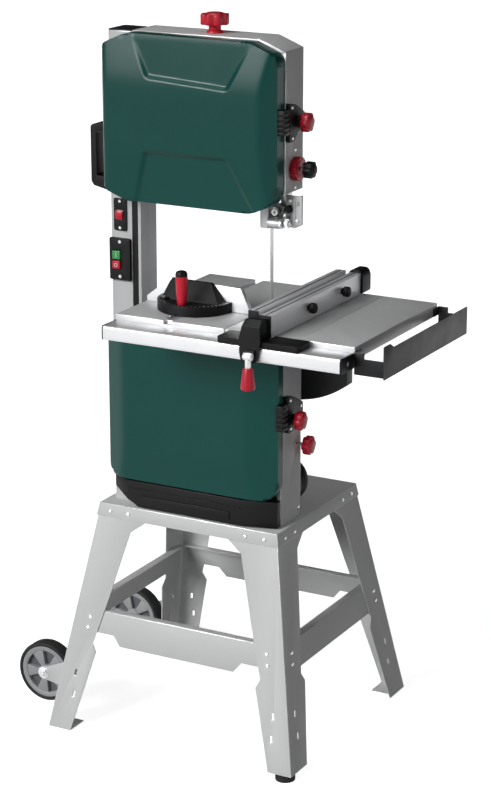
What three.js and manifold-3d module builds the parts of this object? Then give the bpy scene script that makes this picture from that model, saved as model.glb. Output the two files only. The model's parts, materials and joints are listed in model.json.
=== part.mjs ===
// Upright two-wheel band saw on an open sheet-steel stand.
// Millimetres, +Z up. The model is drawn with the cutting run of the blade on the line x = 0, y = 0,
// +X to the operator's right, +Y to the back, and the floor at z = 0. At the end the whole group is
// moved so that its origin is the middle of its footprint.
import * as THREE from "three";
import { mergeVertices } from "three/addons/utils/BufferGeometryUtils.js";
import Module from "manifold-3d";

const wasm = await Module();
wasm.setup();

// ---------------------------------------------------------------- driving dimensions
const GAP = 0.3; // between pieces that touch
const SHEET = 2.5; // steel sheet of the frame and stand

const WHEEL_R = 157.5; // band wheel with its tyre
const WHEEL_WIDTH = 24;
const BLADE = { width: 15, thick: 0.9, clear: 0.7 };
const WHEEL_X = -(WHEEL_R + BLADE.clear + BLADE.thick / 2);
const LOWER_WHEEL_Z = 752;
const UPPER_WHEEL_Z = 1376;

const TABLE = { x0: -257, x1: 168.5, y0: -203.7, y1: 195.2, top: 998.3, slab: 12, rim: 30 };
const EXTENSION = { x0: 169.3, x1: 291.4, rim: 27 };
const SLOT = { x: -133, width: 19, depth: 9 };
const THROAT_R = 30;

const COLUMN = { x0: -378, x1: -305.5, y0: -18.4, y1: 47.9, z0: 519.6, z1: 1553.4 };
const HOUSING = { x0: -305.2, x1: 32, y0: -15.8, y1: 76.3, lowerTop: 918, top: 1555.9 };
const DOOR_BACK_Y = COLUMN.y0 - 0.5;

const TRAY = { x0: -395.3, x1: 47.3, y0: -60.7, y1: 323.8, top: 519.3, flange: 29 };
const SPLAY = { x: 0.172, y: 0.19 }; // how far the legs lean outwards per millimetre of height
// Height and width of a leg's two wings, from the tray down.
const LEG_FRONT = [[516, 124], [489, 120], [463, 90], [320, 76], [205, 62], [186, 75], [0, 57]];
const LEG_SIDE = [[516, 124], [489, 120], [463, 90], [320, 82], [205, 74], [186, 90], [0, 76]];
const LEG_SLOTS = [[133, 36], [84, 44]]; // height, and distance from the leg's corner

const TRUNNION_R = 222;
const TILT_Z = TABLE.top; // the table tilts about the blade, at the level of its surface
const MOTOR = { x: -178, z: 592, r: 66, y0: 84, y1: 292 };
const DUST_PORT = { x: -22, z: 583, r: 50, y1: 122 };

const GREY = { color: 0xb9babb, roughness: 0.45, metalness: 0.1 };
const GREEN = { color: 0x1c5049, roughness: 0.4, metalness: 0.0 };
const BLACK = { color: 0x1a1a1c, roughness: 0.5, metalness: 0.0 };
const RED = { color: 0xb51c2a, roughness: 0.35, metalness: 0.0 };
const ALUMINIUM = { color: 0xb8babc, roughness: 0.35, metalness: 0.9 };
const STEEL = { color: 0x9a9c9e, roughness: 0.3, metalness: 1.0 };
const RUBBER = { color: 0x1b1b1b, roughness: 0.85, metalness: 0.0 };

// ---------------------------------------------------------------- solids
// A closed three.js geometry as a manifold solid.
function solid(geometry) {
  const bare = geometry.clone();
  bare.deleteAttribute("normal");
  bare.deleteAttribute("uv");
  const merged = mergeVertices(bare, 1e-4);
  const vertProperties = merged.attributes.position.array;
  const triVerts = new Uint32Array(merged.index.array);
  return new wasm.Manifold(new wasm.Mesh({ numProp: 3, vertProperties, triVerts }));
}

function join(first, ...rest) {
  return rest.reduce((sum, piece) => sum.add(piece), first);
}

function cut(first, ...rest) {
  return rest.reduce((left, piece) => left.subtract(piece), first);
}

function box(x0, x1, y0, y1, z0, z1) {
  const geometry = new THREE.BoxGeometry(x1 - x0, y1 - y0, z1 - z0);
  geometry.translate((x0 + x1) / 2, (y0 + y1) / 2, (z0 + z1) / 2);
  return solid(geometry);
}

// Turns a piece drawn along Z so that it lies along another axis.
const ALONG = {
  x: new THREE.Matrix4().makeBasis(
    new THREE.Vector3(0, 1, 0), new THREE.Vector3(0, 0, 1), new THREE.Vector3(1, 0, 0)),
  y: new THREE.Matrix4().makeBasis(
    new THREE.Vector3(0, 0, 1), new THREE.Vector3(1, 0, 0), new THREE.Vector3(0, 1, 0)),
  z: new THREE.Matrix4(),
};

// A round bar along an axis, from a to b, centred at the other two coordinates in X, Y, Z order.
function bar(axis, radius, a, b, p, q, { end = radius, sides = 20 } = {}) {
  const geometry = new THREE.CylinderGeometry(end, radius, b - a, sides);
  geometry.rotateX(Math.PI / 2);
  geometry.translate(0, 0, (a + b) / 2);
  geometry.applyMatrix4(ALONG[axis]);
  const place = { x: [0, p, q], y: [p, 0, q], z: [p, q, 0] }[axis];
  geometry.translate(...place);
  return solid(geometry);
}

// A ring-shaped body turned about an axis: the profile is a closed list of [radius, along] points.
function turned(axis, profile, p, q, sides = 48) {
  const points = [...profile, profile[0]].map(([r, a]) => new THREE.Vector2(r, a));
  const geometry = new THREE.LatheGeometry(points, sides);
  geometry.rotateX(Math.PI / 2);
  geometry.applyMatrix4(ALONG[axis]);
  const place = { x: [0, p, q], y: [p, 0, q], z: [p, q, 0] }[axis];
  geometry.translate(...place);
  const made = solid(geometry);
  if (made.volume() > 0) return made;
  return turned(axis, [...profile].reverse(), p, q, sides);
}

// An outline with its corners rounded to one radius.
function outline(points, radius = 0) {
  const corners = points.map(([a, b]) => new THREE.Vector2(a, b));
  const shape = new THREE.Shape();
  if (!radius) return shape.setFromPoints(corners);
  corners.forEach((corner, i) => {
    const before = corners.at(i - 1);
    const after = corners[(i + 1) % corners.length];
    const shorter = Math.min(corner.distanceTo(before), corner.distanceTo(after));
    const reach = Math.min(radius, shorter / 2.05);
    const from = corner.clone().add(before.clone().sub(corner).setLength(reach));
    const to = corner.clone().add(after.clone().sub(corner).setLength(reach));
    if (i) shape.lineTo(from.x, from.y);
    else shape.moveTo(from.x, from.y);
    shape.quadraticCurveTo(corner.x, corner.y, to.x, to.y);
  });
  return shape.closePath();
}

// A plate cut to an outline: in XZ (extruded along Y), in YZ (along X) or in XY (along Z).
function plate(plane, shape, from, to) {
  const options = { depth: to - from, bevelEnabled: false, curveSegments: 4 };
  const geometry = new THREE.ExtrudeGeometry(shape, options);
  if (plane === "xz") {
    geometry.rotateX(Math.PI / 2);
    geometry.translate(0, to, 0);
  } else {
    geometry.translate(0, 0, from);
    geometry.applyMatrix4(plane === "yz" ? ALONG.x : ALONG.z);
  }
  return solid(geometry);
}

// A knob outline with shallow lobes round its edge.
function lobed(radius, lobes, depth, steps = 4) {
  const count = lobes * steps;
  return Array.from({ length: count }, (_, i) => {
    const angle = (2 * Math.PI * i) / count;
    const r = radius - (depth * (1 - Math.cos(lobes * angle))) / 2;
    return [r * Math.cos(angle), r * Math.sin(angle)];
  });
}

function moved(points, a, b) {
  return points.map(([u, v]) => [u + a, v + b]);
}

// A point on a circle, the angle counted in degrees.
function onCircle(radius, degrees, a = 0, b = 0) {
  const t = THREE.MathUtils.degToRad(degrees);
  return [a + radius * Math.cos(t), b + radius * Math.sin(t)];
}

function arc(radius, from, to, steps, a = 0, b = 0) {
  const turn = (i) => from + ((to - from) * i) / steps;
  return Array.from({ length: steps + 1 }, (_, i) => onCircle(radius, turn(i), a, b));
}

const saw = new THREE.Group();

function node(name, made, look) {
  const { vertProperties, triVerts } = made.getMesh();
  const geometry = new THREE.BufferGeometry();
  geometry.setAttribute("position", new THREE.BufferAttribute(new Float32Array(vertProperties), 3));
  geometry.setIndex(new THREE.BufferAttribute(new Uint32Array(triVerts), 1));
  geometry.computeVertexNormals();
  const mesh = new THREE.Mesh(geometry, new THREE.MeshStandardMaterial(look));
  mesh.name = name;
  saw.add(mesh);
}

// ---------------------------------------------------------------- stand
const STAND_MID = { x: (TRAY.x0 + TRAY.x1) / 2, y: (TRAY.y0 + TRAY.y1) / 2 };

// A block whose sides lean outwards like the legs, level at the top with the given rectangle.
function leaning(x0, x1, y0, y1, top, bottom) {
  const made = box(x0, x1, y0, y1, bottom, top);
  return made.warp((v) => {
    const drop = top - v[2];
    v[0] += Math.sign(v[0] - STAND_MID.x) * drop * SPLAY.x;
    v[1] += Math.sign(v[1] - STAND_MID.y) * drop * SPLAY.y;
  });
}

function standTray() {
  const { x0, x1, y0, y1, top, flange } = TRAY;
  const skin = leaning(x0, x1, y0, y1, top, top - flange);
  const under = leaning(x0 + SHEET, x1 - SHEET, y0 + SHEET, y1 - SHEET, top, top - flange - 1);
  return cut(skin, under.trimByPlane([0, 0, -1], SHEET - top));
}

// Leans an upright piece of the stand's side sx (-1 left, +1 right) and sy (-1 front, +1 back).
function lean(made, sx, sy) {
  return made.warp((v) => {
    const drop = TRAY.top - v[2];
    v[0] += sx * drop * SPLAY.x;
    v[1] += sy * drop * SPLAY.y;
  });
}

function leg(sx, sy, bottom) {
  const inset = SHEET + GAP + 0.1;
  const cornerX = (sx < 0 ? TRAY.x0 : TRAY.x1) - sx * inset;
  const cornerY = (sy < 0 ? TRAY.y0 : TRAY.y1) - sy * inset;
  const wing = (corner, s, widths) => {
    const inner = widths.map(([z, w]) => [w, Math.max(z, bottom)]);
    const points = [[0, bottom], ...inner.toReversed(), [0, inner[0][1]]];
    const placed = points.map(([w, z]) => [corner - s * w, z]);
    return outline(s > 0 ? placed.toReversed() : placed);
  };
  const span = (corner, s) => [corner, corner - s * SHEET].sort((a, b) => a - b);
  const foot = LEG_FRONT.at(-1)[1];
  const sole = box(
    ...[cornerX, cornerX - sx * foot].sort((a, b) => a - b),
    ...[cornerY, cornerY - sy * foot].sort((a, b) => a - b), bottom, bottom + SHEET);
  const angle = join(
    plate("xz", wing(cornerX, sx, LEG_FRONT), ...span(cornerY, sy)),
    plate("yz", wing(cornerY, sy, LEG_SIDE), ...span(cornerX, sx)),
    sole);
  const slots = LEG_SLOTS.flatMap(([z, w]) => [
    box(cornerX - sx * w - 3, cornerX - sx * w + 3, cornerY - 10, cornerY + 10, z - 7, z + 7),
    box(cornerX - 10, cornerX + 10, cornerY - sy * w - 3, cornerY - sy * w + 3, z - 7, z + 7),
  ]);
  return lean(cut(angle, ...slots), sx, sy);
}

const BRACE = { top: 280, bottom: 230, middle: 208, sideBottom: 218, flange: 20, dip: 143, ramp: 18 };

// The front and rear braces have a deeper middle; the side ones are straight.
function braceOutline(low, high, dipped) {
  const { top, bottom, middle: deep, sideBottom, dip, ramp } = BRACE;
  if (!dipped) return outline([[low, sideBottom], [high, sideBottom], [high, top], [low, top]]);
  const centre = (low + high) / 2;
  return outline([
    [low, bottom], [centre - dip - ramp, bottom], [centre - dip, deep],
    [centre + dip, deep], [centre + dip + ramp, bottom], [high, bottom], [high, top], [low, top],
  ]);
}

// A brace between two legs: a leaning plate with a flange turned inwards along its top.
function brace(plane, side, low, high, face) {
  const inner = face - side * SHEET;
  const shape = braceOutline(low, high, plane === "xz");
  const web = plate(plane, shape, Math.min(face, inner), Math.max(face, inner));
  const lip = [face, face - side * BRACE.flange].sort((a, b) => a - b);
  const flange = plane === "xz"
    ? box(low, high, ...lip, BRACE.top - SHEET, BRACE.top)
    : box(...lip, low, high, BRACE.top - SHEET, BRACE.top);
  const sloped = join(web, flange);
  return plane === "xz" ? lean(sloped, 0, side) : lean(sloped, side, 0);
}

const LEVELLING = { x: 111, y: -141, radius: 22, height: 9 };

function stand() {
  node("stand_tray", standTray(), GREY);
  for (const [side, sy] of [["front", -1], ["rear", 1]]) {
    for (const [hand, sx] of [["left", -1], ["right", 1]]) {
      const bottom = sy < 0 && sx > 0 ? LEVELLING.height + 3 : 0; // this leg stands on the levelling foot
      node(`stand_leg_${side}_${hand}`, leg(sx, sy, bottom), GREY);
    }
  }
  const inset = 2 * SHEET + 2 * GAP + 0.2;
  const ends = { x0: TRAY.x0 - 22, x1: TRAY.x1 + 22, y0: TRAY.y0 - 12, y1: TRAY.y1 + 12 };
  node("stand_brace_front", brace("xz", -1, ends.x0, ends.x1, TRAY.y0 + inset), GREY);
  node("stand_brace_rear", brace("xz", 1, ends.x0, ends.x1, TRAY.y1 - inset), GREY);
  node("stand_brace_left", brace("yz", -1, ends.y0, ends.y1, TRAY.x0 + inset), GREY);
  node("stand_brace_right", brace("yz", 1, ends.y0, ends.y1, TRAY.x1 - inset), GREY);
  const { x, y, radius, height } = LEVELLING;
  const foot = join(bar("z", radius, 0, height, x, y), bar("z", radius - 4, height, height + 2.6, x, y));
  node("levelling_foot", foot, RUBBER);
}

// ---------------------------------------------------------------- transport wheels
const TRANSPORT = { x: -541.5, z: 88, r: 70, width: 35, front: -78, axle: 7 };

// The plate that carries a wheel beside a left leg, with its stub axle. side: -1 front, +1 rear.
function wheelBracket(side) {
  const { x, z, axle, width } = TRANSPORT;
  const near = side < 0 ? TRANSPORT.front : 2 * STAND_MID.y - TRANSPORT.front;
  const face = [near + side * 1, near + side * 4].sort((a, b) => a - b);
  const legAt = (height) => TRAY.x0 + SHEET + 0.1 - (TRAY.top - height) * SPLAY.x;
  const low = [legAt(z - 26), z - 26];
  const high = [legAt(z + 48), z + 48];
  const arm = outline([...arc(15, 80, 280, 8, x, z), low, high]);
  const tab = outline([low, high, [high[0] - 3, high[1]], [low[0] - 3, low[1]]]);
  const tabSpan = [near + side, near + side * 36].sort((a, b) => a - b);
  const stub = [near - side * (width + 5), near + side * 9].sort((a, b) => a - b);
  return join(plate("xz", arm, ...face), plate("xz", tab, ...tabSpan), bar("y", axle, ...stub, x, z));
}

function transportWheel(side) {
  const { x, z, r, width, axle } = TRANSPORT;
  const near = side < 0 ? TRANSPORT.front : 2 * STAND_MID.y - TRANSPORT.front;
  const middle = near - side * width / 2;
  const half = width / 2;
  const disc = turned("y", [
    [axle + 0.4, -half], [16, -half], [16, -9], [r - 16, -9], [r - 16, -half + 2], [r - 4, -half],
    [r, -half + 4], [r, half - 4], [r - 4, half], [r - 16, half - 2], [r - 16, 9], [16, 9],
    [16, half], [axle + 0.4, half],
  ], x, z, 30).translate(0, middle, 0);
  const windows = Array.from({ length: 7 }, (_, i) => {
    const [a, b] = onCircle(35, (360 * (i + 0.5)) / 7, x, z);
    return bar("y", 9, middle - 20, middle + 20, a, b, { sides: 8 });
  });
  return cut(disc, ...windows);
}

// ---------------------------------------------------------------- frame
const HOUSING_LEFT = -322; // the upper housing's top runs over the column as far as here

function column() {
  const { x0, x1, y0, y1, z0, z1 } = COLUMN;
  const tube = cut(
    box(x0, x1, y0, y1, z0, z1),
    box(x0 + SHEET, x1 - SHEET, y0 + SHEET, y1 - SHEET, z0 - 1, z1 + 1));
  const slot = box(-326.7, -312.2, y0 - 1, y0 + SHEET + 1, 640, 1440);
  const windows = [LOWER_WHEEL_Z, UPPER_WHEEL_Z].map((z) =>
    box(x1 - SHEET - 1, x1 + 1, -y0 - 34, 16, z - 72, z + 72));
  const underHousing = box(HOUSING_LEFT, x1 + 1, y0 - 1, y1 + 1, HOUSING.top - 11, z1 + 1);
  return cut(tube, slot, underHousing, ...windows);
}

// An open-fronted sheet box: an outline in XZ, its inner outline, and a back plate.
function sheetBox(shape, inner) {
  const { y0, y1 } = HOUSING;
  return cut(plate("xz", shape, y0, y1), plate("xz", inner, y0 - 1, y1 - SHEET));
}

// Shafts that come out through the right walls.
const UPPER_LATCH = { y: 29, z: 1388, middle: 1388 };
const LOWER_LATCH = { y: 9, z: 756, middle: 768 };
const GUIDE_SHAFT = { y: 35, z: 1289 };
const BELT_KNOB = { y: 58, z: 687 };
const TENSION = { x: -152, y: 33.6 };

function rightHole(r, y, z) {
  return bar("x", r, HOUSING.x1 - 8, HOUSING.x1 + 3, y, z);
}

function upperHousing() {
  const { x0, x1, y0, y1, top } = HOUSING;
  const low = 1207;
  const corner = [[-24, top], [x1, top - 22]];
  const shape = outline([[x0, low], [-75, low], [-10, 1240], [x1, 1240], corner[1], corner[0],
    [HOUSING_LEFT + GAP, top], [HOUSING_LEFT + GAP, top - 10], [x0, top - 10]]);
  const s = SHEET;
  const inner = outline([
    [x0 - 1, low + s], [-76, low + s], [-11, 1240 + s], [x1 - s, 1240 + s],
    [x1 - s, top - 22 - s], [-25, top - s], [HOUSING_LEFT - 1, top - s],
    [HOUSING_LEFT - 1, top - 11], [x0 - 1, top - 11],
  ]);
  const lip = join(
    box(x1 - 10, x1 - 0.5, y0, y0 + s, 1241, top - 26),
    box(HOUSING_LEFT + GAP, -26, y0, y0 + s, top - 10, top - 0.5));
  return cut(
    join(sheetBox(shape, inner), lip),
    box(-20, 28.5, y0 - 1, 47, 1205, 1246),
    bar("z", 6.5, top - 5, top + 5, TENSION.x, TENSION.y),
    rightHole(6.5, UPPER_LATCH.y, UPPER_LATCH.z),
    rightHole(8.5, GUIDE_SHAFT.y, GUIDE_SHAFT.z));
}

function lowerHousing() {
  const { x0, x1, y0, y1, lowerTop } = HOUSING;
  const low = TRAY.top + GAP;
  const s = SHEET;
  const shape = outline([[x0, low], [x1, low], [x1, lowerTop], [x0, lowerTop]]);
  const inner = outline([
    [x0 - 1, low + s], [x1 - s, low + s], [x1 - s, lowerTop - s], [x0 - 1, lowerTop - s]]);
  const lip = box(x1 - 10, x1 - 0.5, y0, y0 + s, low + 1, lowerTop - 1);
  const axle = bar("y", 9, -18, y1 - 1, WHEEL_X, LOWER_WHEEL_Z);
  return cut(
    join(sheetBox(shape, inner), lip, axle),
    box(-14, 14, y0 - 1, 16, lowerTop - 8, lowerTop + 1),
    bar("y", 24, y1 - 5, y1 + 5, MOTOR.x, MOTOR.z),
    bar("y", DUST_PORT.r - 6, y1 - 5, y1 + 5, DUST_PORT.x, DUST_PORT.z),
    rightHole(6.5, LOWER_LATCH.y, LOWER_LATCH.z),
    rightHole(4.5, BELT_KNOB.y, BELT_KNOB.z));
}

// The socket for a dust hose on the back of the lower housing.
function dustPort() {
  const { x, z, r, y1 } = DUST_PORT;
  const y0 = HOUSING.y1 + GAP;
  const flange = box(x - r, x + r, y0, y0 + 4, z - r, z + r);
  return cut(
    join(bar("y", r, y0, y1, x, z, { sides: 32 }), flange),
    bar("y", r - 3.5, y0 - 5, y1 + 5, x, z, { sides: 32 }));
}

function carryHandle() {
  const face = COLUMN.x0 - GAP;
  const outer = outline([
    [face, 1208], [face, 1357], [-427, 1350], [-431, 1345], [-431, 1227], [-425, 1218]], 2);
  const grip = outline([[face - 12, 1238], [face - 12, 1340], [-417, 1334], [-417, 1240]], 4);
  return cut(plate("xz", outer, -12, 28), plate("xz", grip, -13, 29));
}

// ---------------------------------------------------------------- doors
// A moulded door: the intersection of its front outline, its plan and its side view, hollow from behind.
function doorBlock(front, plan, side) {
  return plate("xz", outline(front, 14), -80, 0)
    .intersect(plate("xy", outline(plan), 400, 1700))
    .intersect(plate("yz", outline(side), -500, 200));
}

function shrink(points, amount, openFrom) {
  const box2 = new THREE.Box2().setFromPoints(points.map(([a, b]) => new THREE.Vector2(a, b)));
  const middle = box2.getCenter(new THREE.Vector2());
  const half = box2.getSize(new THREE.Vector2()).multiplyScalar(0.5);
  return points.map(([a, b]) => [
    openFrom.a !== undefined && Math.abs(a - openFrom.a) < 0.01
      ? a + openFrom.push : middle.x + (a - middle.x) * (1 - amount / half.x),
    openFrom.b !== undefined && Math.abs(b - openFrom.b) < 0.01
      ? b + openFrom.push : middle.y + (b - middle.y) * (1 - amount / half.y),
  ]);
}

function door(front, plan, side) {
  const wall = 3;
  const hollow = doorBlock(
    shrink(front, wall, {}),
    shrink(plan, wall, { b: DOOR_BACK_Y, push: 5 }),
    shrink(side, wall, { a: DOOR_BACK_Y, push: 5 }));
  return cut(doorBlock(front, plan, side), hollow);
}

function upperDoor() {
  const y = DOOR_BACK_Y;
  const front = [[-376, 1228], [-314, 1204], [-20, 1204], [25, 1224], [35.7, 1247],
    [35.7, 1529], [-24, 1553], [-316, 1555.5], [-376, 1530]];
  const plan = [[-376, y], [-376, -46], [-360, -72], [3, -72], [35.7, -46], [35.7, y]];
  const side = [[y, 1204], [y, 1555.5], [-46, 1555.5], [-72, 1549], [-72, 1211], [-46, 1204]];
  const shell = door(front, plan, side.toReversed());
  return join(shell, box(34, 48, -39, -14.5, 1378, 1415));
}

function lowerDoor() {
  const y = DOOR_BACK_Y;
  const front = [[-380, 606], [-340, 584], [-34, 584], [20, 584], [35.7, 610], [35.7, 915], [-380, 915]];
  const plan = [[-380, y], [-380, -37], [-329, -62], [-34, -62], [35.7, -37], [35.7, y]];
  const side = [[y, 584], [y, 915], [-62, 915], [-62, 590], [-50, 584]];
  const shell = door(front, plan, side.toReversed());
  return join(shell, box(34, 48, -39, -16, 748, 790));
}

function baseSkirt() {
  const left = -368;
  const right = 34;
  const front = outline([[left, 581], [left, 556], [-308, 528], [-300, 522], [right, 522], [right, 581]]);
  const back = COLUMN.y0 - GAP - 0.1;
  const plan = outline([[left, back], [left, -36], [-326, -57], [-40, -57], [right, -36], [right, back]]);
  const hollow = outline([
    [left + 4, back + 2], [left + 4, -34], [-324, -54], [-42, -54], [right - 3, -34], [right - 3, back + 2]]);
  const skin = plate("xz", front, -80, 0).intersect(plate("xy", plan, 500, 600));
  return cut(skin, plate("xy", hollow, 534, 578));
}

// ---------------------------------------------------------------- latches and side controls
function latchBracket({ y, z, middle: m }) {
  const face = HOUSING.x1 + GAP;
  const shape = outline([
    [-13, m - 38], [8, m - 38], [26, m - 18], [56, m - 14], [56, m + 16], [14, m + 38], [-13, m + 42]], 5);
  const body = plate("yz", shape, face, face + 15);
  const boss = bar("x", 12, face + 10, face + 20, y, z);
  return cut(join(body, boss), bar("x", 6.6, face - 5, face + 30, y, z));
}

function lobedKnob({ y, z }, shaftFrom, from, to, radius, shaftR, lobes = 6) {
  const head = plate("yz", outline(moved(lobed(radius, lobes, 4), y, z)), from, to);
  const nose = bar("x", radius * 0.62, to - 0.5, to + 3, y, z, { end: radius * 0.5 });
  return join(head, nose, bar("x", shaftR, shaftFrom, from + 1, y, z));
}

function sideControls() {
  const inside = HOUSING.x1 - 5;
  node("upper_latch_bracket", latchBracket(UPPER_LATCH), BLACK);
  node("upper_latch_knob", lobedKnob(UPPER_LATCH, inside, 57, 75, 20.5, 6), RED);
  node("lower_latch_bracket", latchBracket(LOWER_LATCH), BLACK);
  node("lower_latch_knob", lobedKnob(LOWER_LATCH, inside, 57, 75, 20.5, 6), RED);
  const { y, z } = GUIDE_SHAFT;
  const wheel = join(
    plate("yz", outline(moved(lobed(25, 12, 1.6, 3), y, z)), 34, 50),
    bar("x", 8, 27.5, 35, y, z));
  node("guide_handwheel", cut(wheel, bar("x", 4.6, 20, 60, y, z)), RED);
  node("guide_clamp_knob", lobedKnob(GUIDE_SHAFT, 27.5, 60, 80, 18, 4), BLACK);
  node("belt_tension_knob", lobedKnob(BELT_KNOB, 10, 52, 70, 21, 4), RED);
}

// ---------------------------------------------------------------- switches
const START_PLATE = { x0: -380, x1: -328.5, z0: 1020, z1: 1112, front: -26 };
const LIGHT_PLATE = { x0: -369.5, x1: -338.8, z0: 1128, z1: 1198, front: -23 };
const START = { x0: -371, x1: -352, z0: 1066, z1: 1084 };
const STOP = { x0: -371, x1: -352, z0: 1045, z1: 1062 };
const ROCKER = { x0: -365, x1: -347, z0: 1152, z1: 1172 };

function switchPlate({ x0, x1, z0, z1, front }, holes) {
  const shape = outline([[x0, z0], [x1, z0], [x1, z1], [x0, z1]], 4);
  const windows = holes.map((h) =>
    box(h.x0 - 0.6, h.x1 + 0.6, front - 5, 0, h.z0 - h.room, h.z1 + h.room));
  return cut(plate("xz", shape, front, COLUMN.y0 - GAP), ...windows);
}

function switches() {
  const back = COLUMN.y0 - GAP;
  node("light_switch_plate", switchPlate(LIGHT_PLATE, [{ ...ROCKER, room: 1.4 }]), BLACK);
  const side = outline([
    [back - 0.9, ROCKER.z1 - 3], [-24.5, ROCKER.z1], [-26.5, 1162], [-24.5, ROCKER.z0],
    [back - 0.9, ROCKER.z0 + 3]]);
  node("light_rocker", plate("yz", side, ROCKER.x0, ROCKER.x1), RED);
  const holes = [{ ...START, room: 0.6 }, { ...STOP, room: 0.6 }];
  node("start_stop_plate", switchPlate(START_PLATE, holes), BLACK);
  node("start_button", box(START.x0, START.x1, START_PLATE.front - 4, back - 3.3, START.z0, START.z1),
    { color: 0x1f8a3c, roughness: 0.4, metalness: 0 });
  node("stop_button", box(STOP.x0, STOP.x1, START_PLATE.front - 5, back - 3.3, STOP.z0, STOP.z1), RED);
}

// ---------------------------------------------------------------- band wheels and blade
const AXLE_R = 9;
const PULLEY = { wheel: 70, motor: 25, y0: 19, y1: 32 }; // radii, and where the belt runs

function bandWheel(z, pulley) {
  const half = WHEEL_WIDTH / 2;
  const bore = AXLE_R + 0.4;
  const rim = WHEEL_R - 12;
  const front = [
    [bore, -15], [24, -15], [24, -3], [rim, -3], [rim, -half],
    [WHEEL_R, -half], [WHEEL_R, half], [rim, half], [rim, 3]];
  const back = pulley
    ? [[24, 3], [24, 17], [PULLEY.wheel, 17], [PULLEY.wheel, 34], [bore, 34]]
    : [[24, 3], [24, 15], [bore, 15]];
  const disc = turned("y", [...front, ...back], WHEEL_X, z, 36);
  const windows = Array.from({ length: 6 }, (_, i) => {
    const [a, b] = onCircle(106, 60 * i + 30, WHEEL_X, z);
    return bar("y", 27, -10, 10, a, b, { sides: 12 });
  });
  return cut(disc, ...windows);
}

// The endless band round both wheels, its outline traced as two half circles joined by straight runs.
function bandBlade() {
  const path = (r, steps) => [
    ...arc(r, 0, 180, steps, WHEEL_X, UPPER_WHEEL_Z),
    ...arc(r, 180, 360, steps, WHEEL_X, LOWER_WHEEL_Z),
  ];
  const inside = path(WHEEL_R + BLADE.clear, 24);
  const shape = outline(path(WHEEL_R + BLADE.clear + BLADE.thick, 24));
  shape.holes.push(new THREE.Path(inside.map(([a, b]) => new THREE.Vector2(a, b))));
  return plate("xz", shape, -BLADE.width / 2, BLADE.width / 2);
}

function wheelCarriage() {
  const z = UPPER_WHEEL_Z;
  const block = box(WHEEL_X - 38, WHEEL_X + 38, 20, HOUSING.y1 - SHEET - 0.5, z - 45, z + 45);
  const axle = bar("y", AXLE_R, -18, 21, WHEEL_X, z);
  return cut(join(block, axle), bar("z", 5.6, z - 5, z + 50, TENSION.x, TENSION.y));
}

function tensionKnob() {
  const { x, y } = TENSION;
  const top = HOUSING.top;
  return join(
    bar("z", 5, UPPER_WHEEL_Z + 5, top + 5, x, y),
    bar("z", 18, top + GAP, top + 5, x, y, { end: 16 }),
    bar("z", 13, top + 4.5, top + 18, x, y),
    plate("xy", outline(moved(lobed(30.5, 8, 4), x, y)), top + 17, top + 39),
    bar("z", 20, top + 38.5, top + 42, x, y, { end: 16 }));
}

// ---------------------------------------------------------------- drive
function motor() {
  const { x, z, r, y0, y1 } = MOTOR;
  const flange = bar("y", 58, HOUSING.y1 + GAP, y0 + 1, x, z, { sides: 36 });
  const shaftRoom = bar("y", 30, 70, y0 + 0.5, x, z);
  const terminalBox = box(x - 40, x + 40, y0 + 60, y0 + 150, z + 50, z + r + 22);
  return join(bar("y", r, y0, y1, x, z, { sides: 36 }), cut(flange, shaftRoom), terminalBox);
}

function motorPulley() {
  const { x, z, y0 } = MOTOR;
  return join(
    bar("y", PULLEY.motor, PULLEY.y0 - 2, PULLEY.y1 + 4, x, z),
    bar("y", 7, PULLEY.y1, y0 - 0.4, x, z));
}

// A flat belt round the lower wheel's pulley and the motor pulley, along their outer tangents.
function driveBelt() {
  const dx = MOTOR.x - WHEEL_X;
  const dz = MOTOR.z - LOWER_WHEEL_Z;
  const along = THREE.MathUtils.radToDeg(Math.atan2(dz, dx));
  const open = THREE.MathUtils.radToDeg(Math.acos((PULLEY.wheel - PULLEY.motor) / Math.hypot(dx, dz)));
  const path = (extra) => [
    ...arc(PULLEY.wheel + extra, along + open, along + 360 - open, 24, WHEEL_X, LOWER_WHEEL_Z),
    ...arc(PULLEY.motor + extra, along - open, along + open, 10, MOTOR.x, MOTOR.z),
  ];
  const shape = outline(path(4.5));
  shape.holes.push(new THREE.Path(path(0.9).map(([a, b]) => new THREE.Vector2(a, b))));
  return plate("xz", shape, PULLEY.y0, PULLEY.y1);
}

// ---------------------------------------------------------------- blade guides
const POST = { x0: 8, x1: 26, y0: 24, y1: 42 };

function guidePost() {
  return box(POST.x0, POST.x1, POST.y0, POST.y1, 1212.5, 1500);
}

function upperGuideBlock() {
  const clear = 1.3;
  const leftShape = outline([[-24, -8], [-16, -14], [-clear, -14], [-clear, 12], [-24, 12]], 3);
  const left = plate("xy", leftShape, 1168, 1214);
  const back = box(-24, 48, 9.5, 42, 1170, 1212);
  const rightJaw = box(clear, 20, -10, 12, 1171, 1192);
  const roller = bar("x", 11, clear, 26, -14, 1181, { sides: 20 });
  const cheek = box(46, 51, 4, 42, 1170, 1232);
  const face = box(30, 66, 6, 10, 1178, 1238);
  return cut(join(left, back, rightJaw, roller, cheek, face), box(54, 61, 0, 20, 1218, 1227));
}

function lowerGuideBlock() {
  const clear = 1.3;
  const low = HOUSING.lowerTop + GAP;
  return join(
    box(-24, 22, 17, 40, low, low + 24),
    box(-24, -clear, -9, 18, low + 6, low + 24),
    box(clear, 22, -9, 18, low + 6, low + 24));
}

// ---------------------------------------------------------------- table and tilt
const TRUNNION = { y0: 80, y1: 104, left: 152, right: 140, slotR: 186, boltDeg: -132, tiltDeg: 47 };
const LOCK_BOLT = onCircle(TRUNNION.slotR, TRUNNION.boltDeg, 0, TILT_Z);

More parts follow.
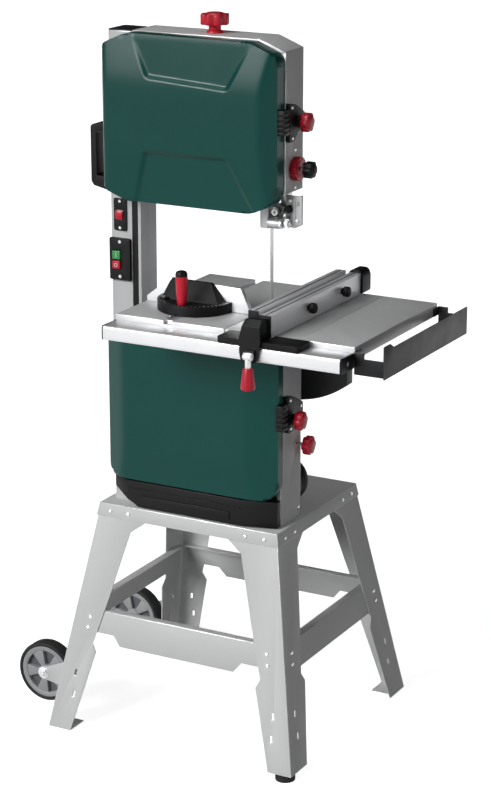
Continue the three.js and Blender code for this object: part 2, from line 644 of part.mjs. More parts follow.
function trunnionSegment() {
  const { y0, y1, left, right, slotR, boltDeg, tiltDeg } = TRUNNION;
  const ends = [boltDeg - 3, boltDeg + tiltDeg + 3];
  const upTo = (half) => THREE.MathUtils.radToDeg(Math.acos(half / TRUNNION_R));
  const top = TABLE.top - TABLE.slab - GAP;
  const rim = arc(TRUNNION_R, 180 + upTo(left), 360 - upTo(right), 24, 0, TILT_Z);
  const shape = outline([[-left, top], ...rim, [right, top]]);
  const slot = outline([
    ...arc(slotR - 7.5, ...ends, 12, 0, TILT_Z),
    ...arc(slotR + 7.5, ...ends.toReversed(), 12, 0, TILT_Z),
  ]);
  return cut(plate("xz", shape, y0, y1), plate("xz", slot, y0 - 1, y1 + 1));
}

function trunnionBase() {
  const { y0, y1 } = TRUNNION;
  const block = box(-145, 4, HOUSING.y1 + GAP, y1 + 10, 742, 878);
  const channel = bar("y", TRUNNION_R + 0.6, y0 - 0.4, y1 + 0.4, 0, TILT_Z, { sides: 96 });
  return cut(block, channel, bar("y", 6.6, 70, 130, ...LOCK_BOLT));
}

function tiltLockLever() {
  const [x, z] = LOCK_BOLT;
  const y = TRUNNION.y1 + 12;
  const arm = outline([...arc(13, -70, 160, 8, x, z), [x - 58, z - 66], [x - 48, z - 74]]);
  return join(
    bar("y", 6, 79, y + 5, x, z),
    plate("xz", arm, y, y + 9),
    bar("y", 10, y - 1, y + 26, x - 52, z - 70));
}

function slabWithRim(x0, x1, rim) {
  const { y0, y1, top, slab } = TABLE;
  const wall = 8;
  return cut(
    box(x0, x1, y0, y1, top - rim, top),
    box(x0 + wall, x1 - wall, y0 + wall, y1 - wall, top - rim - 1, top - slab));
}

function mainTable() {
  const { x0, x1, y0, y1, top, rim } = TABLE;
  return cut(
    slabWithRim(x0, x1, rim),
    box(SLOT.x - SLOT.width / 2, SLOT.x + SLOT.width / 2, y0 - 1, y1 + 1, top - SLOT.depth, top + 1),
    bar("z", THROAT_R, top - 4.6, top + 1, 0, 0, { sides: 36 }),
    bar("z", THROAT_R - 4, top - 20, top + 1, 0, 0, { sides: 36 }),
    box(-1.6, 1.6, y0 - 1, 0, top - rim - 1, top + 1));
}

function tableInsert() {
  const { top } = TABLE;
  const disc = bar("z", THROAT_R - 0.5, top - 4.2, top - 0.1, 0, 0, { sides: 36 });
  return cut(disc, box(-2.2, 7.5, -40, 14, top - 10, top + 10));
}

// The guide rail along the table's front edge: a hollow aluminium extrusion with a rounded front.
const RAIL = { x0: -253, x1: 291, y0: -262, y1: -204.1, z0: 957, z1: 987, wall: 4 };

function frontRail() {
  const { y0, y1, z0, z1, wall } = RAIL;
  const outer = outline([[y0, z0], [y1, z0], [y1, z1], [y0, z1]], 5);
  const inner = [
    [y0 + wall, z0 + wall], [y0 + wall, z1 - wall], [y1 - wall, z1 - wall], [y1 - wall, z0 + wall]];
  outer.holes.push(new THREE.Path(inner.map(([a, b]) => new THREE.Vector2(a, b))));
  return plate("yz", outer, RAIL.x0, RAIL.x1);
}

function parkingBracket() {
  const x = EXTENSION.x1 + GAP;
  const out = 357;
  const side = outline([
    [-205, 940], [203, 938], [203, 997], [-160, 998], [-178, 1008], [-207, 1008], [-207, 950]]);
  const ends = [[-207, -204.5], [200.5, 203]];
  const arms = ends.map(([a, b]) => box(x, out, a, b, 944, 978));
  const rises = ends.map(([a, b]) => box(x, x + 22, a, b, 970, 990));
  const tabs = [[-207, -176], [172, 203]].map(([a, b]) => box(x, x + SHEET, a, b, 972.5, 990));
  return join(plate("yz", side, out - SHEET, out), ...arms, ...rises, ...tabs);
}

// ---------------------------------------------------------------- rip fence
function fenceCarrier() {
  const base = outline([[14, -262], [196, -262], [196, -206], [14, -206]], 6);
  const side = outline([
    [-272, 958], [-262.5, 958], [-262.5, 998], [-231, 998], [-231, 1040], [-258, 1043],
    [-269, 1030], [-269, 1003]]);
  const front = outline([
    [74, 958], [108, 958], [116, 1000], [114, 1043], [78, 1043], [68, 1004], [70, 975]]);
  return join(
    plate("xy", base, 987.5, 999.4),
    plate("yz", side, 60, 120).intersect(plate("xz", front, -275, -230)),
    box(88, 106, -275.5, -271, 962, 984));
}

function fenceProfile() {
  const z = TABLE.top + 1.5;
  const high = TABLE.top + 54;
  const low = TABLE.top + 47;
  const tallEnd = 166; // the tall left part stops short of the end cap
  const section = outline([
    [69, z], [119, z], [119, low], [94, low], [94, low - 5], [91, low - 5], [91, high], [69, high]]);
  return cut(
    plate("xz", section, -230.5, 222),
    box(60, 91.5, tallEnd, 230, z - 1, high + 1),
    box(72, 88, -240, 230, z + 3, high - 3),
    box(94.5, 116, -240, 230, z + 3, low - 8));
}

function fenceLever() {
  const x = 97;
  const y = -284;
  const pivotZ = 974;
  return join(
    bar("x", 8, x - 9, x + 9, y, pivotZ),
    bar("z", 6, pivotZ - 26, pivotZ - 2, x, y),
    bar("z", 15, pivotZ - 70, pivotZ - 24, x, y, { end: 10 }));
}

// ---------------------------------------------------------------- mitre gauge
const MITRE = { y: -81, r: 83, thick: 21, handleY: -145 };

function mitreBar() {
  const { top } = TABLE;
  const strip = box(SLOT.x - 9, SLOT.x + 9, -196, 130, top - SLOT.depth + 0.5, top - 0.2);
  return join(strip, bar("z", 7, top - 1, top + 9, SLOT.x, MITRE.y - 9));
}

function mitreHead() {
  const z = TABLE.top + 0.6;
  const rim = outline([...arc(MITRE.r, 180, 360, 24, SLOT.x, MITRE.y)]);
  const foot = z + MITRE.thick - 1;
  const wingFront = outline([
    [-199, foot], [-190, z + 58], [-94, z + 58], [-68, z + 26], [-62, foot]], 4);
  const wingSide = outline([
    [MITRE.y, foot], [MITRE.y, z + 59], [MITRE.y - 8, z + 59], [-113, z + 24], [-118, foot]]);
  const made = join(
    plate("xy", rim, z, z + MITRE.thick),
    plate("xz", wingFront, -125, MITRE.y).intersect(plate("yz", wingSide, -210, -50)),
    bar("z", 11, z + 4, z + MITRE.thick + 3, -190, -118));
  const pivotHole = bar("z", 7.5, z - 5, z + 12, SLOT.x, MITRE.y - 9);
  return cut(made, pivotHole, bar("z", 5.5, z - 1, z + 40, SLOT.x, MITRE.handleY));
}

function mitreFence() {
  const z = TABLE.top + 1;
  const face = outline([
    [-254, z], [-9, z], [-12, z + 14], [-30, z + 52], [-198, z + 55], [-254, z + 12]]);
  return plate("xz", face, MITRE.y + GAP, MITRE.y + 13);
}

function mitreHandle() {
  const z = TABLE.top + 0.6 + MITRE.thick + GAP;
  return join(
    bar("z", 5, z - 16, z + 2, SLOT.x, MITRE.handleY),
    bar("z", 10, z, z + 66, SLOT.x, MITRE.handleY, { end: 12.5 }),
    bar("z", 12.5, z + 65, z + 72, SLOT.x, MITRE.handleY, { end: 9 }));
}

// ---------------------------------------------------------------- assembly
stand();
for (const [side, s] of [["front", -1], ["rear", 1]]) {
  node(`wheel_bracket_${side}`, wheelBracket(s), GREY);
  node(`transport_wheel_${side}`, transportWheel(s), RUBBER);
}

node("column", column(), GREY);
node("upper_housing", upperHousing(), GREY);
node("lower_housing", lowerHousing(), GREY);
node("dust_port", dustPort(), BLACK);
node("carry_handle", carryHandle(), BLACK);
node("upper_door", upperDoor(), GREEN);
node("lower_door", lowerDoor(), GREEN);
node("base_skirt", baseSkirt(), BLACK);
sideControls();
switches();

node("upper_band_wheel", bandWheel(UPPER_WHEEL_Z, false), ALUMINIUM);
node("lower_band_wheel", bandWheel(LOWER_WHEEL_Z, true), ALUMINIUM);
node("band_blade", bandBlade(), STEEL);
node("wheel_carriage", wheelCarriage(), STEEL);
node("tension_knob", tensionKnob(), RED);
node("motor", motor(), BLACK);
node("motor_pulley", motorPulley(), STEEL);
node("drive_belt", driveBelt(), RUBBER);

node("guide_post", guidePost(), STEEL);
node("upper_guide_block", upperGuideBlock(), STEEL);
node("lower_guide_block", lowerGuideBlock(), STEEL);

node("trunnion_segment", trunnionSegment(), BLACK);
node("trunnion_base", trunnionBase(), BLACK);
node("tilt_lock_lever", tiltLockLever(), BLACK);
node("main_table", mainTable(), ALUMINIUM);
node("table_extension", slabWithRim(EXTENSION.x0, EXTENSION.x1, EXTENSION.rim), ALUMINIUM);
node("table_insert", tableInsert(), ALUMINIUM);
node("front_rail", frontRail(), ALUMINIUM);
node("fence_bracket", parkingBracket(), BLACK);

node("fence_carrier", fenceCarrier(), BLACK);
node("fence_profile", fenceProfile(), ALUMINIUM);
node("fence_lever", fenceLever(), RED);
node("mitre_bar", mitreBar(), STEEL);
node("mitre_head", mitreHead(), BLACK);
node("mitre_fence", mitreFence(), ALUMINIUM);
node("mitre_handle", mitreHandle(), RED);

const footprint = new THREE.Box3().setFromObject(saw);
const middle = footprint.getCenter(new THREE.Vector3());
saw.position.set(-middle.x, -middle.y, -footprint.min.z);

export default saw;
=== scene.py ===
import json
import math

import bmesh
import bpy
from mathutils import Matrix, Vector


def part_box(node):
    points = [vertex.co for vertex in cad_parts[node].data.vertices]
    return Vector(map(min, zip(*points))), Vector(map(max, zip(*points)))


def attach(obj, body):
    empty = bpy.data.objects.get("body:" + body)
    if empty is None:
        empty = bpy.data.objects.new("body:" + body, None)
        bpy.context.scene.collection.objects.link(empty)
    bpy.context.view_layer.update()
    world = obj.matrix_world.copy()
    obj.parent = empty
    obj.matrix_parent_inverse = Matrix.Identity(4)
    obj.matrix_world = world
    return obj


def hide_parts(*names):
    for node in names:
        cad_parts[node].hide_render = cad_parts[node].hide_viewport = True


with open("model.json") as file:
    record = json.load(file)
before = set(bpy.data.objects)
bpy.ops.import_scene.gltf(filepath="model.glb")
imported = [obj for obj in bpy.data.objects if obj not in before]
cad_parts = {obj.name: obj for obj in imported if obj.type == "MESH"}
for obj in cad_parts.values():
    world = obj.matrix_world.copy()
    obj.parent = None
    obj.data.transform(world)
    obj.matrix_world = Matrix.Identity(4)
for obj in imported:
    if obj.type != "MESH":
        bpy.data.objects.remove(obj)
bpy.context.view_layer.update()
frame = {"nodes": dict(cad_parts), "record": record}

BLADE_EDGE = 0.45  # the outer face of the band is this far right of the cutting line
blade_low, blade_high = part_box("band_blade")
ORIGIN = Vector((blade_high.x - BLADE_EDGE / 1000, (blade_low.y + blade_high.y) / 2, 0))
TO_SCENE = Matrix.Translation(ORIGIN) @ Matrix.Scale(0.001, 4)
AXES = {"x": Vector((1, 0, 0)), "y": Vector((0, 1, 0)), "z": Vector((0, 0, 1))}
body_of = {n: b for b, ns in frame["record"]["behaviour"]["bodies"].items() for n in ns}


def spot(x, y, z):
    """A drawing point in scene metres."""
    return ORIGIN + Vector((x, y, z)) / 1000


def limits(node):
    """A CAD node's lowest and highest corners in drawing millimetres."""
    low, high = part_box(node)
    return (low - ORIGIN) * 1000, (high - ORIGIN) * 1000


# ---------------------------------------------------------------- materials
CLOUD_SCALE = 7.0  # noise cells per metre of the tint's clouds
SMUDGE_SCALE = 23.0  # and of the smudges in the gloss
GRAIN_DEPTH = 0.0006  # metres


def linear(code):
    """A colour written as RRGGBB, in linear light."""
    shares = [int(code[i : i + 2], 16) / 255 for i in (0, 2, 4)]
    return tuple(s / 12.92 if s < 0.04045 else ((s + 0.055) / 1.055) ** 2.4 for s in shares)


def surface(name, code, rough, metal=0.0, tint=0.06, smudge=0.05, grain=1400.0, bump=0.05,
            brushed=None, coat=0.0, shine=0.5):
    """A procedural finish: cloudy tint, smudged roughness and a fine grain, stretched where brushed."""
    made = bpy.data.materials.new(name)
    made.use_nodes = True
    nodes, links = made.node_tree.nodes, made.node_tree.links
    shader = nodes["Principled BSDF"]
    shader.inputs["Metallic"].default_value = metal
    shader.inputs["Coat Weight"].default_value = coat
    shader.inputs["Specular IOR Level"].default_value = shine
    place = nodes.new("ShaderNodeTexCoord").outputs["Object"]

    def noise(scale, detail, source=place):
        n = nodes.new("ShaderNodeTexNoise")
        n.inputs["Scale"].default_value = scale
        n.inputs["Detail"].default_value = detail
        links.new(source, n.inputs["Vector"])
        return n.outputs["Fac"]

    colour = linear(code)
    mix = nodes.new("ShaderNodeMix")
    mix.data_type = "RGBA"
    mix.inputs["A"].default_value = (*[c * (1 - tint) for c in colour], 1)
    mix.inputs["B"].default_value = (*[min(1, c * (1 + tint)) for c in colour], 1)
    links.new(noise(CLOUD_SCALE, 5), mix.inputs["Factor"])
    links.new(mix.outputs["Result"], shader.inputs["Base Color"])

    spread = nodes.new("ShaderNodeMapRange")
    spread.inputs["From Min"].default_value = 0.3
    spread.inputs["From Max"].default_value = 0.7
    spread.inputs["To Min"].default_value = max(0.05, rough - smudge)
    spread.inputs["To Max"].default_value = min(1, rough + smudge)
    links.new(noise(SMUDGE_SCALE, 7), spread.inputs["Value"])
    links.new(spread.outputs["Result"], shader.inputs["Roughness"])

    source = place
    if brushed:
        stretch = nodes.new("ShaderNodeMapping")
        stretch.inputs["Scale"].default_value = brushed
        links.new(place, stretch.inputs["Vector"])
        source = stretch.outputs["Vector"]
    relief = nodes.new("ShaderNodeBump")
    relief.inputs["Strength"].default_value = bump
    relief.inputs["Distance"].default_value = GRAIN_DEPTH
    links.new(noise(grain, 3, source), relief.inputs["Height"])
    links.new(relief.outputs["Normal"], shader.inputs["Normal"])
    return made


ALONG_X = (0.03, 1, 1)  # grain stretched along X
ALONG_Y = (1, 0.03, 1)
ALONG_Z = (1, 1, 0.03)
GREY = surface("grey_powder_coat", "cecfd0", 0.5, grain=1800, tint=0.03, bump=0.08, shine=0.2)
STAND_GREY = surface("grey_stand_paint", "d9dada", 0.5, grain=1100, tint=0.04, bump=0.12, shine=0.2)
GREY_EDGE = surface("grey_worn_edge", "d9dadb", 0.32, metal=0.3, smudge=0.1)
GREEN = surface("green_paint", "0b4b45", 0.3, tint=0.04, smudge=0.015, grain=900, bump=0.03,
                shine=0.18)
BLACK = surface("black_moulding", "0d0d0f", 0.46, tint=0.2, grain=2200, bump=0.18, shine=0.16)
BLACK_PAINT = surface("black_paint", "1b1c1e", 0.45, tint=0.15, grain=700, bump=0.12, shine=0.2)
BLACK_EDGE = surface("black_worn_edge", "4a4b4f", 0.4, metal=0.3, tint=0.15)
RED = surface("red_moulding", "cc1832", 0.36, smudge=0.08, grain=1500, shine=0.3)
GREEN_BUTTON = surface("green_button", "1b9443", 0.35, coat=0.2)
RUBBER = surface("black_rubber", "151516", 0.72, tint=0.2, smudge=0.1, grain=1200, bump=0.25, shine=0.3)
WHEEL_GREY = surface("grey_wheel_moulding", "9b9d9f", 0.5, grain=1500, bump=0.1)
# A darker copy of the wheel's moulding grey for the pockets' floor: painted shade in the wheel's
# recesses.
POCKET_SHADE_GREY = surface("grey_wheel_pocket_painted_shade", "54565a", 0.6, grain=1500, bump=0.1)
ALUMINIUM_X = surface("aluminium_drawn_x", "e4e5e7", 0.36, metal=0.55, tint=0.02, grain=1600,
                      brushed=ALONG_X)
ALUMINIUM_Y = surface("aluminium_drawn_y", "e2e3e5", 0.38, metal=0.4, tint=0.02, grain=1600,
                      brushed=ALONG_Y)
CAST = surface("aluminium_casting", "b9babb", 0.42, metal=0.45, tint=0.07, grain=650, bump=0.15)
GROUND_TOP = surface("ground_table_top", "d0d1d2", 0.45, metal=0.25, tint=0.03, grain=1500,
                     brushed=ALONG_Y)
STEEL = surface("bright_steel", "cbccce", 0.33, metal=0.7, tint=0.04, grain=1500, brushed=ALONG_Z)
ZINC = surface("zinc_fastener", "e2e3e4", 0.32, metal=0.6, tint=0.06, smudge=0.08, grain=2000)
WHITE_INK = surface("white_marking", "e9eae9", 0.5, tint=0.03)

# ---------------------------------------------------------------- mesh tools
SMOOTH_BELOW = math.radians(33)


def place_in_scene(name, mesh, body, *looks):
    """An object for a mesh, with its materials, riding on a body."""
    obj = bpy.data.objects.new(name, mesh)
    bpy.context.scene.collection.objects.link(obj)
    for look in looks:
        obj.data.materials.append(look)
    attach(obj, body)
    return obj


def settle(obj):
    """Applies the modifiers and sets which edges stay sharp."""
    bpy.context.view_layer.update()
    graph = bpy.context.evaluated_depsgraph_get()
    final = bpy.data.meshes.new_from_object(obj.evaluated_get(graph))
    obj.modifiers.clear()
    obj.data = final
    bm = bmesh.new()
    bm.from_mesh(final)
    for face in bm.faces:
        face.smooth = True
    for edge in bm.edges:
        edge.smooth = len(edge.link_faces) != 2 or edge.calc_face_angle(0) < SMOOTH_BELOW
    bm.to_mesh(final)
    bm.free()
    return obj


def round_edges(obj, width, segments=2, clamp=True):
    """Bevels the sharp edges by a width in millimetres; a second material goes on the bevel."""
    bevel = obj.modifiers.new("edges", "BEVEL")
    bevel.width = width / 1000
    bevel.segments = segments
    bevel.limit_method = "ANGLE"
    bevel.angle_limit = SMOOTH_BELOW
    bevel.use_clamp_overlap = clamp
    bevel.material = 1 if len(obj.data.materials) > 1 else -1
    return settle(obj)


def dress(node, width, look, edge=None, segments=2, clamp=True):
    """A finished copy of a CAD node: its edges broken to a radius, and its faces merged and shaded."""
    bm = bmesh.new()
    bm.from_mesh(frame["nodes"][node].data)
    bmesh.ops.remove_doubles(bm, verts=bm.verts, dist=2e-5)
    bmesh.ops.dissolve_limit(bm, angle_limit=math.radians(0.6), verts=bm.verts, edges=bm.edges)
    for face in bm.faces:
        face.material_index = 0
    mesh = bpy.data.meshes.new(node)
    bm.to_mesh(mesh)
    bm.free()
    looks = [look, edge] if edge else [look]
    obj = place_in_scene(node + "_finished", mesh, body_of[node], *looks)
    round_edges(obj, width, segments, clamp)
    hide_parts(node)
    return obj


def joined(name, body, look, parts, width=0.0, segments=2):
    """One piece from several closed shapes, each a bmesh in drawing millimetres."""
    total = bmesh.new()
    for part in parts:
        part.transform(TO_SCENE)
        scrap = bpy.data.meshes.new("scrap")
        part.to_mesh(scrap)
        part.free()
        total.from_mesh(scrap)
        bpy.data.meshes.remove(scrap)
    bmesh.ops.recalc_face_normals(total, faces=total.faces)
    mesh = bpy.data.meshes.new(name)
    total.to_mesh(mesh)
    total.free()
    obj = place_in_scene(name, mesh, body, look)
    return round_edges(obj, width, segments) if width else settle(obj)


def aimed(bm, axis, x, y, z):
    """Turns a shape drawn along Z to lie along an axis letter or a direction, and moves it to a point."""
    along = AXES[axis] if isinstance(axis, str) else Vector(axis)
    turn = along.to_track_quat("Z", "Y")
    bm.transform(Matrix.Translation((x, y, z)) @ turn.to_matrix().to_4x4())
    return bm


def turned(axis, profile, x, y, z, sides=32):
    """A solid turned about an axis through a point, from end to end of [radius, along] points."""
    bm = bmesh.new()
    rings = []
    for radius, along in profile:
        if radius < 1e-6:
            rings.append([bm.verts.new((0, 0, along))])
            continue
        turns = [2 * math.pi * i / sides for i in range(sides)]
        rings.append([bm.verts.new((radius * math.cos(t), radius * math.sin(t), along)) for t in turns])
    for a, b in zip(rings, rings[1:]):
        for i in range(sides):
            corners = [a[i % len(a)], a[(i + 1) % len(a)], b[(i + 1) % len(b)], b[i % len(b)]]
            bm.faces.new(list(dict.fromkeys(corners)))
    for ring in (rings[0], rings[-1]):
        if len(ring) > 2 and rings[0] is not rings[-1]:
            bm.faces.new(ring)
    return aimed(bm, axis, x, y, z)


def hoop(axis, profile, x, y, z, sides=48):
    """A ring turned about an axis: the profile is a closed loop of [radius, along] points."""
    bm = bmesh.new()
    turns = [2 * math.pi * i / sides for i in range(sides)]
    rings = [[bm.verts.new((r * math.cos(t), r * math.sin(t), a)) for t in turns] for r, a in profile]
    for a, b in zip(rings, rings[1:] + rings[:1]):
        for i in range(sides):
            j = (i + 1) % sides
            bm.faces.new((a[i], a[j], b[j], b[i]))
    return aimed(bm, axis, x, y, z)


def head(towards, x, y, z, r, h, sides=14):
    """A domed fastener head standing on a surface, facing a direction."""
    return turned(towards, [(r, -0.6), (r, 0.3 * h), (0.75 * r, 0.8 * h), (0, h)], x, y, z, sides)


def nut(towards, x, y, z, r, h):
    """A hexagonal head or nut with a chamfered face and a round crown."""
    profile = [(r, -0.6), (r, 0.8 * h), (0.84 * r, h), (0.5 * r, h), (0.45 * r, 1.3 * h), (0, 1.4 * h)]
    return turned(towards, profile, x, y, z, 6)


def block(x0, x1, y0, y1, z0, z1):
    """A box between two corners."""
    bm = bmesh.new()
    bmesh.ops.create_cube(bm, size=1)
    size = Matrix.Diagonal((x1 - x0, y1 - y0, z1 - z0, 1))
    bm.transform(Matrix.Translation(((x0 + x1) / 2, (y0 + y1) / 2, (z0 + z1) / 2)) @ size)
    return bm


def slab(points, plane, start, end):
    """A plate cut to an outline in the XZ, YZ or XY plane, from start to end along the other axis."""
    first, second = ("xyz".index(letter) for letter in plane)
    along = 3 - first - second
    bm = bmesh.new()
    corners = []
    for a, b in points:
        place = [start] * 3
        place[first], place[second] = a, b
        corners.append(bm.verts.new(place))
    step = [0, 0, 0]
    step[along] = end - start
    grown = bmesh.ops.extrude_face_region(bm, geom=[bm.faces.new(corners)])["geom"]
    bmesh.ops.translate(bm, verts=[g for g in grown if isinstance(g, bmesh.types.BMVert)], vec=step)
    return bm


def ring_points(radius, start, end, steps, a=0.0, b=0.0):
    """Points on a circle from one angle to another, in degrees."""
    turns = [math.radians(start + (end - start) * i / steps) for i in range(steps + 1)]
    return [(a + radius * math.cos(t), b + radius * math.sin(t)) for t in turns]


def rounded(points, radius, steps=5):
    """An outline with its corners rounded, as far as the sides beside each corner allow."""
    out = []
    for i, p in enumerate(points):
        corner = Vector(p)
        before = Vector(points[i - 1])
        after = Vector(points[(i + 1) % len(points)])
        reach = min(radius, (before - corner).length / 2.1, (after - corner).length / 2.1)
        a = corner + (before - corner).normalized() * reach
        b = corner + (after - corner).normalized() * reach
        for k in range(steps + 1):
            t = k / steps
            out.append(tuple(a * (1 - t) ** 2 + corner * 2 * t * (1 - t) + b * t * t))
    return out


# ---------------------------------------------------------------- doors
DOOR_BACK = limits("upper_door")[1].y
DOOR_WALL = 3
EDGE_ROLL = 9  # how far in the front face rolls over into the sides
ROLL_STEPS = (0.06, 0.2, 0.42, 0.7, 1.0)  # shares of the roll where it is cut
DOOR_GRID = 5  # spacing of the cuts that let the face follow its relief
LEDGE = 13  # width of the step into a recessed panel
LEDGE_CUTS = 6


def moulded_door(node, outline, height, look, creases=()):
    """A thin moulded shell: a front face of the given relief with rolled edges, and side walls.

    The creases are outlines whose edges, and lines beside them, are cut into the face.
    """
    bm = bmesh.new()
    face = bm.faces.new([bm.verts.new((x, 0, z)) for x, z in outline])
    drops = {v: EDGE_ROLL for v in bm.verts}
    inset = 0.0
    for reach in ROLL_STEPS:
        step = reach * EDGE_ROLL - inset
        inset += step
        known = set(bm.verts)
        bmesh.ops.inset_region(bm, faces=[face], thickness=step, use_even_offset=True)
        drop = EDGE_ROLL - math.sqrt(EDGE_ROLL**2 - (EDGE_ROLL - inset) ** 2)
        drops.update({v: drop for v in bm.verts if v not in known})
    cuts = []
    for axis, values in enumerate(zip(*outline)):
        low, high = min(values), max(values)
        normal = Vector((axis == 0, 0, axis == 1))
        count = int((high - low) / DOOR_GRID)
        cuts += [(normal * (low + (high - low) * i / count), normal) for i in range(1, count)]
    for points in creases:
        for (ax, az), (bx, bz) in zip(points, points[1:] + points[:1]):
            across = Vector((bz - az, 0, ax - bx)).normalized()
            for k in range(LEDGE_CUTS + 1):
                cuts.append((Vector((ax, 0, az)) + across * LEDGE * k / LEDGE_CUTS, across))
    inner = [face]
    for at, normal in cuts:
        geom = {g for f in inner for g in [f, *f.edges, *f.verts]}
        cut = bmesh.ops.bisect_plane(bm, geom=list(geom), plane_co=at, plane_no=normal, dist=1e-3)
        inner = [g for g in cut["geom"] if isinstance(g, bmesh.types.BMFace)]
    for v in bm.verts:
        v.co.y = height(v.co.x, v.co.z) + drops.get(v, 0)
    rim = [e for e in bm.edges if e.is_boundary]
    grown = bmesh.ops.extrude_edge_only(bm, edges=rim)["geom"]
    for v in grown:
        if isinstance(v, bmesh.types.BMVert):
            v.co.y = DOOR_BACK
    bmesh.ops.recalc_face_normals(bm, faces=bm.faces)
    middle = max(bm.faces, key=lambda f: -f.calc_center_median().y)
    if middle.normal.y > 0:
        bmesh.ops.reverse_faces(bm, faces=bm.faces)
    bm.transform(TO_SCENE)
    mesh = bpy.data.meshes.new(node)
    bm.to_mesh(mesh)
    bm.free()
    obj = place_in_scene(node + "_moulding", mesh, body_of[node], look)
    wall = obj.modifiers.new("wall", "SOLIDIFY")
    wall.thickness = DOOR_WALL / 1000
    wall.offset = -1
    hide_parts(node)
    return settle(obj)


def ease(t):
    """A smooth step from 0 to 1 as t goes from 0 to 1."""
    t = min(1.0, max(0.0, t))
    return t * t * (3 - 2 * t)


def softer(a, b, width):
    """The larger of two values, with the corner between them rounded off."""
    return (a + b + math.hypot(a - b, width)) / 2


def inside(points, x, z):
    """0 outside a convex outline, 1 once a ledge's width inside it. The points run clockwise."""
    share = 1.0
    for (ax, az), (bx, bz) in zip(points, points[1:] + points[:1]):
        length = math.hypot(bx - ax, bz - az)
        depth = ((x - ax) * (bz - az) - (z - az) * (bx - ax)) / length
        share *= ease(depth / LEDGE)
    return share


UPPER_FRONT = limits("upper_door")[0].y
UPPER_SHOULDER = 1452  # above this the face leans back
UPPER_WAIST = 1318  # below this it leans back again
PANEL_DEPTH = 9
UPPER_BEVEL = 26  # how far the sides' bevels go back
TOP_PANEL = [(-332, 1600), (12, 1600), (-66, 1451), (-263, 1464)]
LOW_PANEL = [(-268, 1319), (-68, 1320), (10, 1180), (-306, 1180)]


def upper_relief(x, z):
    """The upper door's front: it leans back at top and bottom, with a sunk panel in each part.

    Its sides are bevelled."""
    face = UPPER_FRONT + 0.2 * softer(0, z - UPPER_SHOULDER, 26)
    face += 0.1 * softer(0, UPPER_WAIST - z, 20)
    top_floor = UPPER_FRONT + PANEL_DEPTH + 0.12 * (z - 1460)
    low_floor = UPPER_FRONT + PANEL_DEPTH + 0.06 * (UPPER_WAIST - z)
    face += max(0, top_floor - face) * inside(TOP_PANEL, x, z)
    face += max(0, low_floor - face) * inside(LOW_PANEL, x, z)
    right = UPPER_FRONT + UPPER_BEVEL * (x - 3) / 33
    left = UPPER_FRONT + UPPER_BEVEL * (-362 - x) / 16
    return softer(softer(face, right, 5), left, 5)


DOOR_RIGHT = 35.7
upper_outline = rounded([
    (-376, 1228), (-314, 1204), (-20, 1204), (25, 1224), (DOOR_RIGHT, 1247),
    (DOOR_RIGHT, 1529), (-24, 1553), (-316, 1555.4), (-376, 1530)], 16)
moulded_door("upper_door", upper_outline, upper_relief, GREEN, [TOP_PANEL, LOW_PANEL])

LOWER_FRONT = limits("lower_door")[0].y
LOWER_BEVEL = 25


def lower_relief(x, z):
    """The lower door's front: flat, drawn back at the bottom, with bevelled sides."""
    face = LOWER_FRONT + 5 * ease((660 - z) / 70)
    left = LOWER_FRONT + LOWER_BEVEL * (-331 - x) / 49
    right = LOWER_FRONT + LOWER_BEVEL * (x + 30) / 66
    return softer(softer(face, left, 4), right, 6)


lower_outline = rounded([
    (-380, 598), (-364, 584), (20, 584), (DOOR_RIGHT, 610), (DOOR_RIGHT, 915), (-380, 915)], 14)
moulded_door("lower_door", lower_outline, lower_relief, GREEN)

CATCH_RIBS = 5
HINGE_X, HINGE_Y = -381.6, -19.6


def door_catch(name, node, z0, z1):
    """The ribbed black catch on a door's free edge."""
    ribs = [block(33.5, 50, -44, -21.5, z0, z1)]
    pitch = (z1 - z0 - 3) / CATCH_RIBS
    for i in range(CATCH_RIBS):
        z = z0 + 2.5 + pitch * i
        ribs.append(block(34.5, 52, -46, -22.5, z, z + pitch * 0.55))
    joined(name, body_of[node], BLACK, ribs, width=0.8)


door_catch("upper_door_catch", "upper_door", 1368, 1420)
door_catch("lower_door_catch", "lower_door", 742, 798)

for door, heights in (("upper", (1262, 1490)), ("lower", (640, 860))):
    knuckles = [turned("z", [(3.1, -14), (3.1, 14)], HINGE_X, HINGE_Y, z, 16) for z in heights]
    joined(f"{door}_door_hinge_pins", "frame", ZINC, knuckles, width=0.5)

# ---------------------------------------------------------------- frame and stand
SHEET_EDGE = 0.7
HANDS = {"left": -1, "right": 1}
SIDES = {"front": -1, "rear": 1}
dress("stand_tray", SHEET_EDGE, STAND_GREY, GREY_EDGE, clamp=False)
for node in ("column", "upper_housing", "lower_housing"):
    dress(node, SHEET_EDGE, GREY, GREY_EDGE, clamp=False)
for side in SIDES:
    for hand in HANDS:
        dress(f"stand_leg_{side}_{hand}", SHEET_EDGE, STAND_GREY, GREY_EDGE, clamp=False)
for side in (*SIDES, *HANDS):
    dress(f"stand_brace_{side}", SHEET_EDGE, STAND_GREY, GREY_EDGE, clamp=False)
for side in SIDES:
    dress(f"wheel_bracket_{side}", 0.6, STAND_GREY, GREY_EDGE)

# The stand's faces lean outwards from the tray's upper edges, which are given by side: -1 or 1.
TRAY_TOP = 519.3
TRAY_X = {-1: -395.3, 1: 47.3}
TRAY_Y = {-1: -60.7, 1: 323.8}
LEAN_X = 0.172
LEAN_Y = 0.19
LEG_INSET = 2.9  # a leg's outer face lies this far inside the tray's
TRAY_BOLT_Z = 503


def stand_corner(sx, sy, z, inset=0.0):
    """Where two of the stand's faces meet at a height, or a corner that far inside it."""
    drop = TRAY_TOP - z
    return TRAY_X[sx] + sx * (drop * LEAN_X - inset), TRAY_Y[sy] + sy * (drop * LEAN_Y - inset)


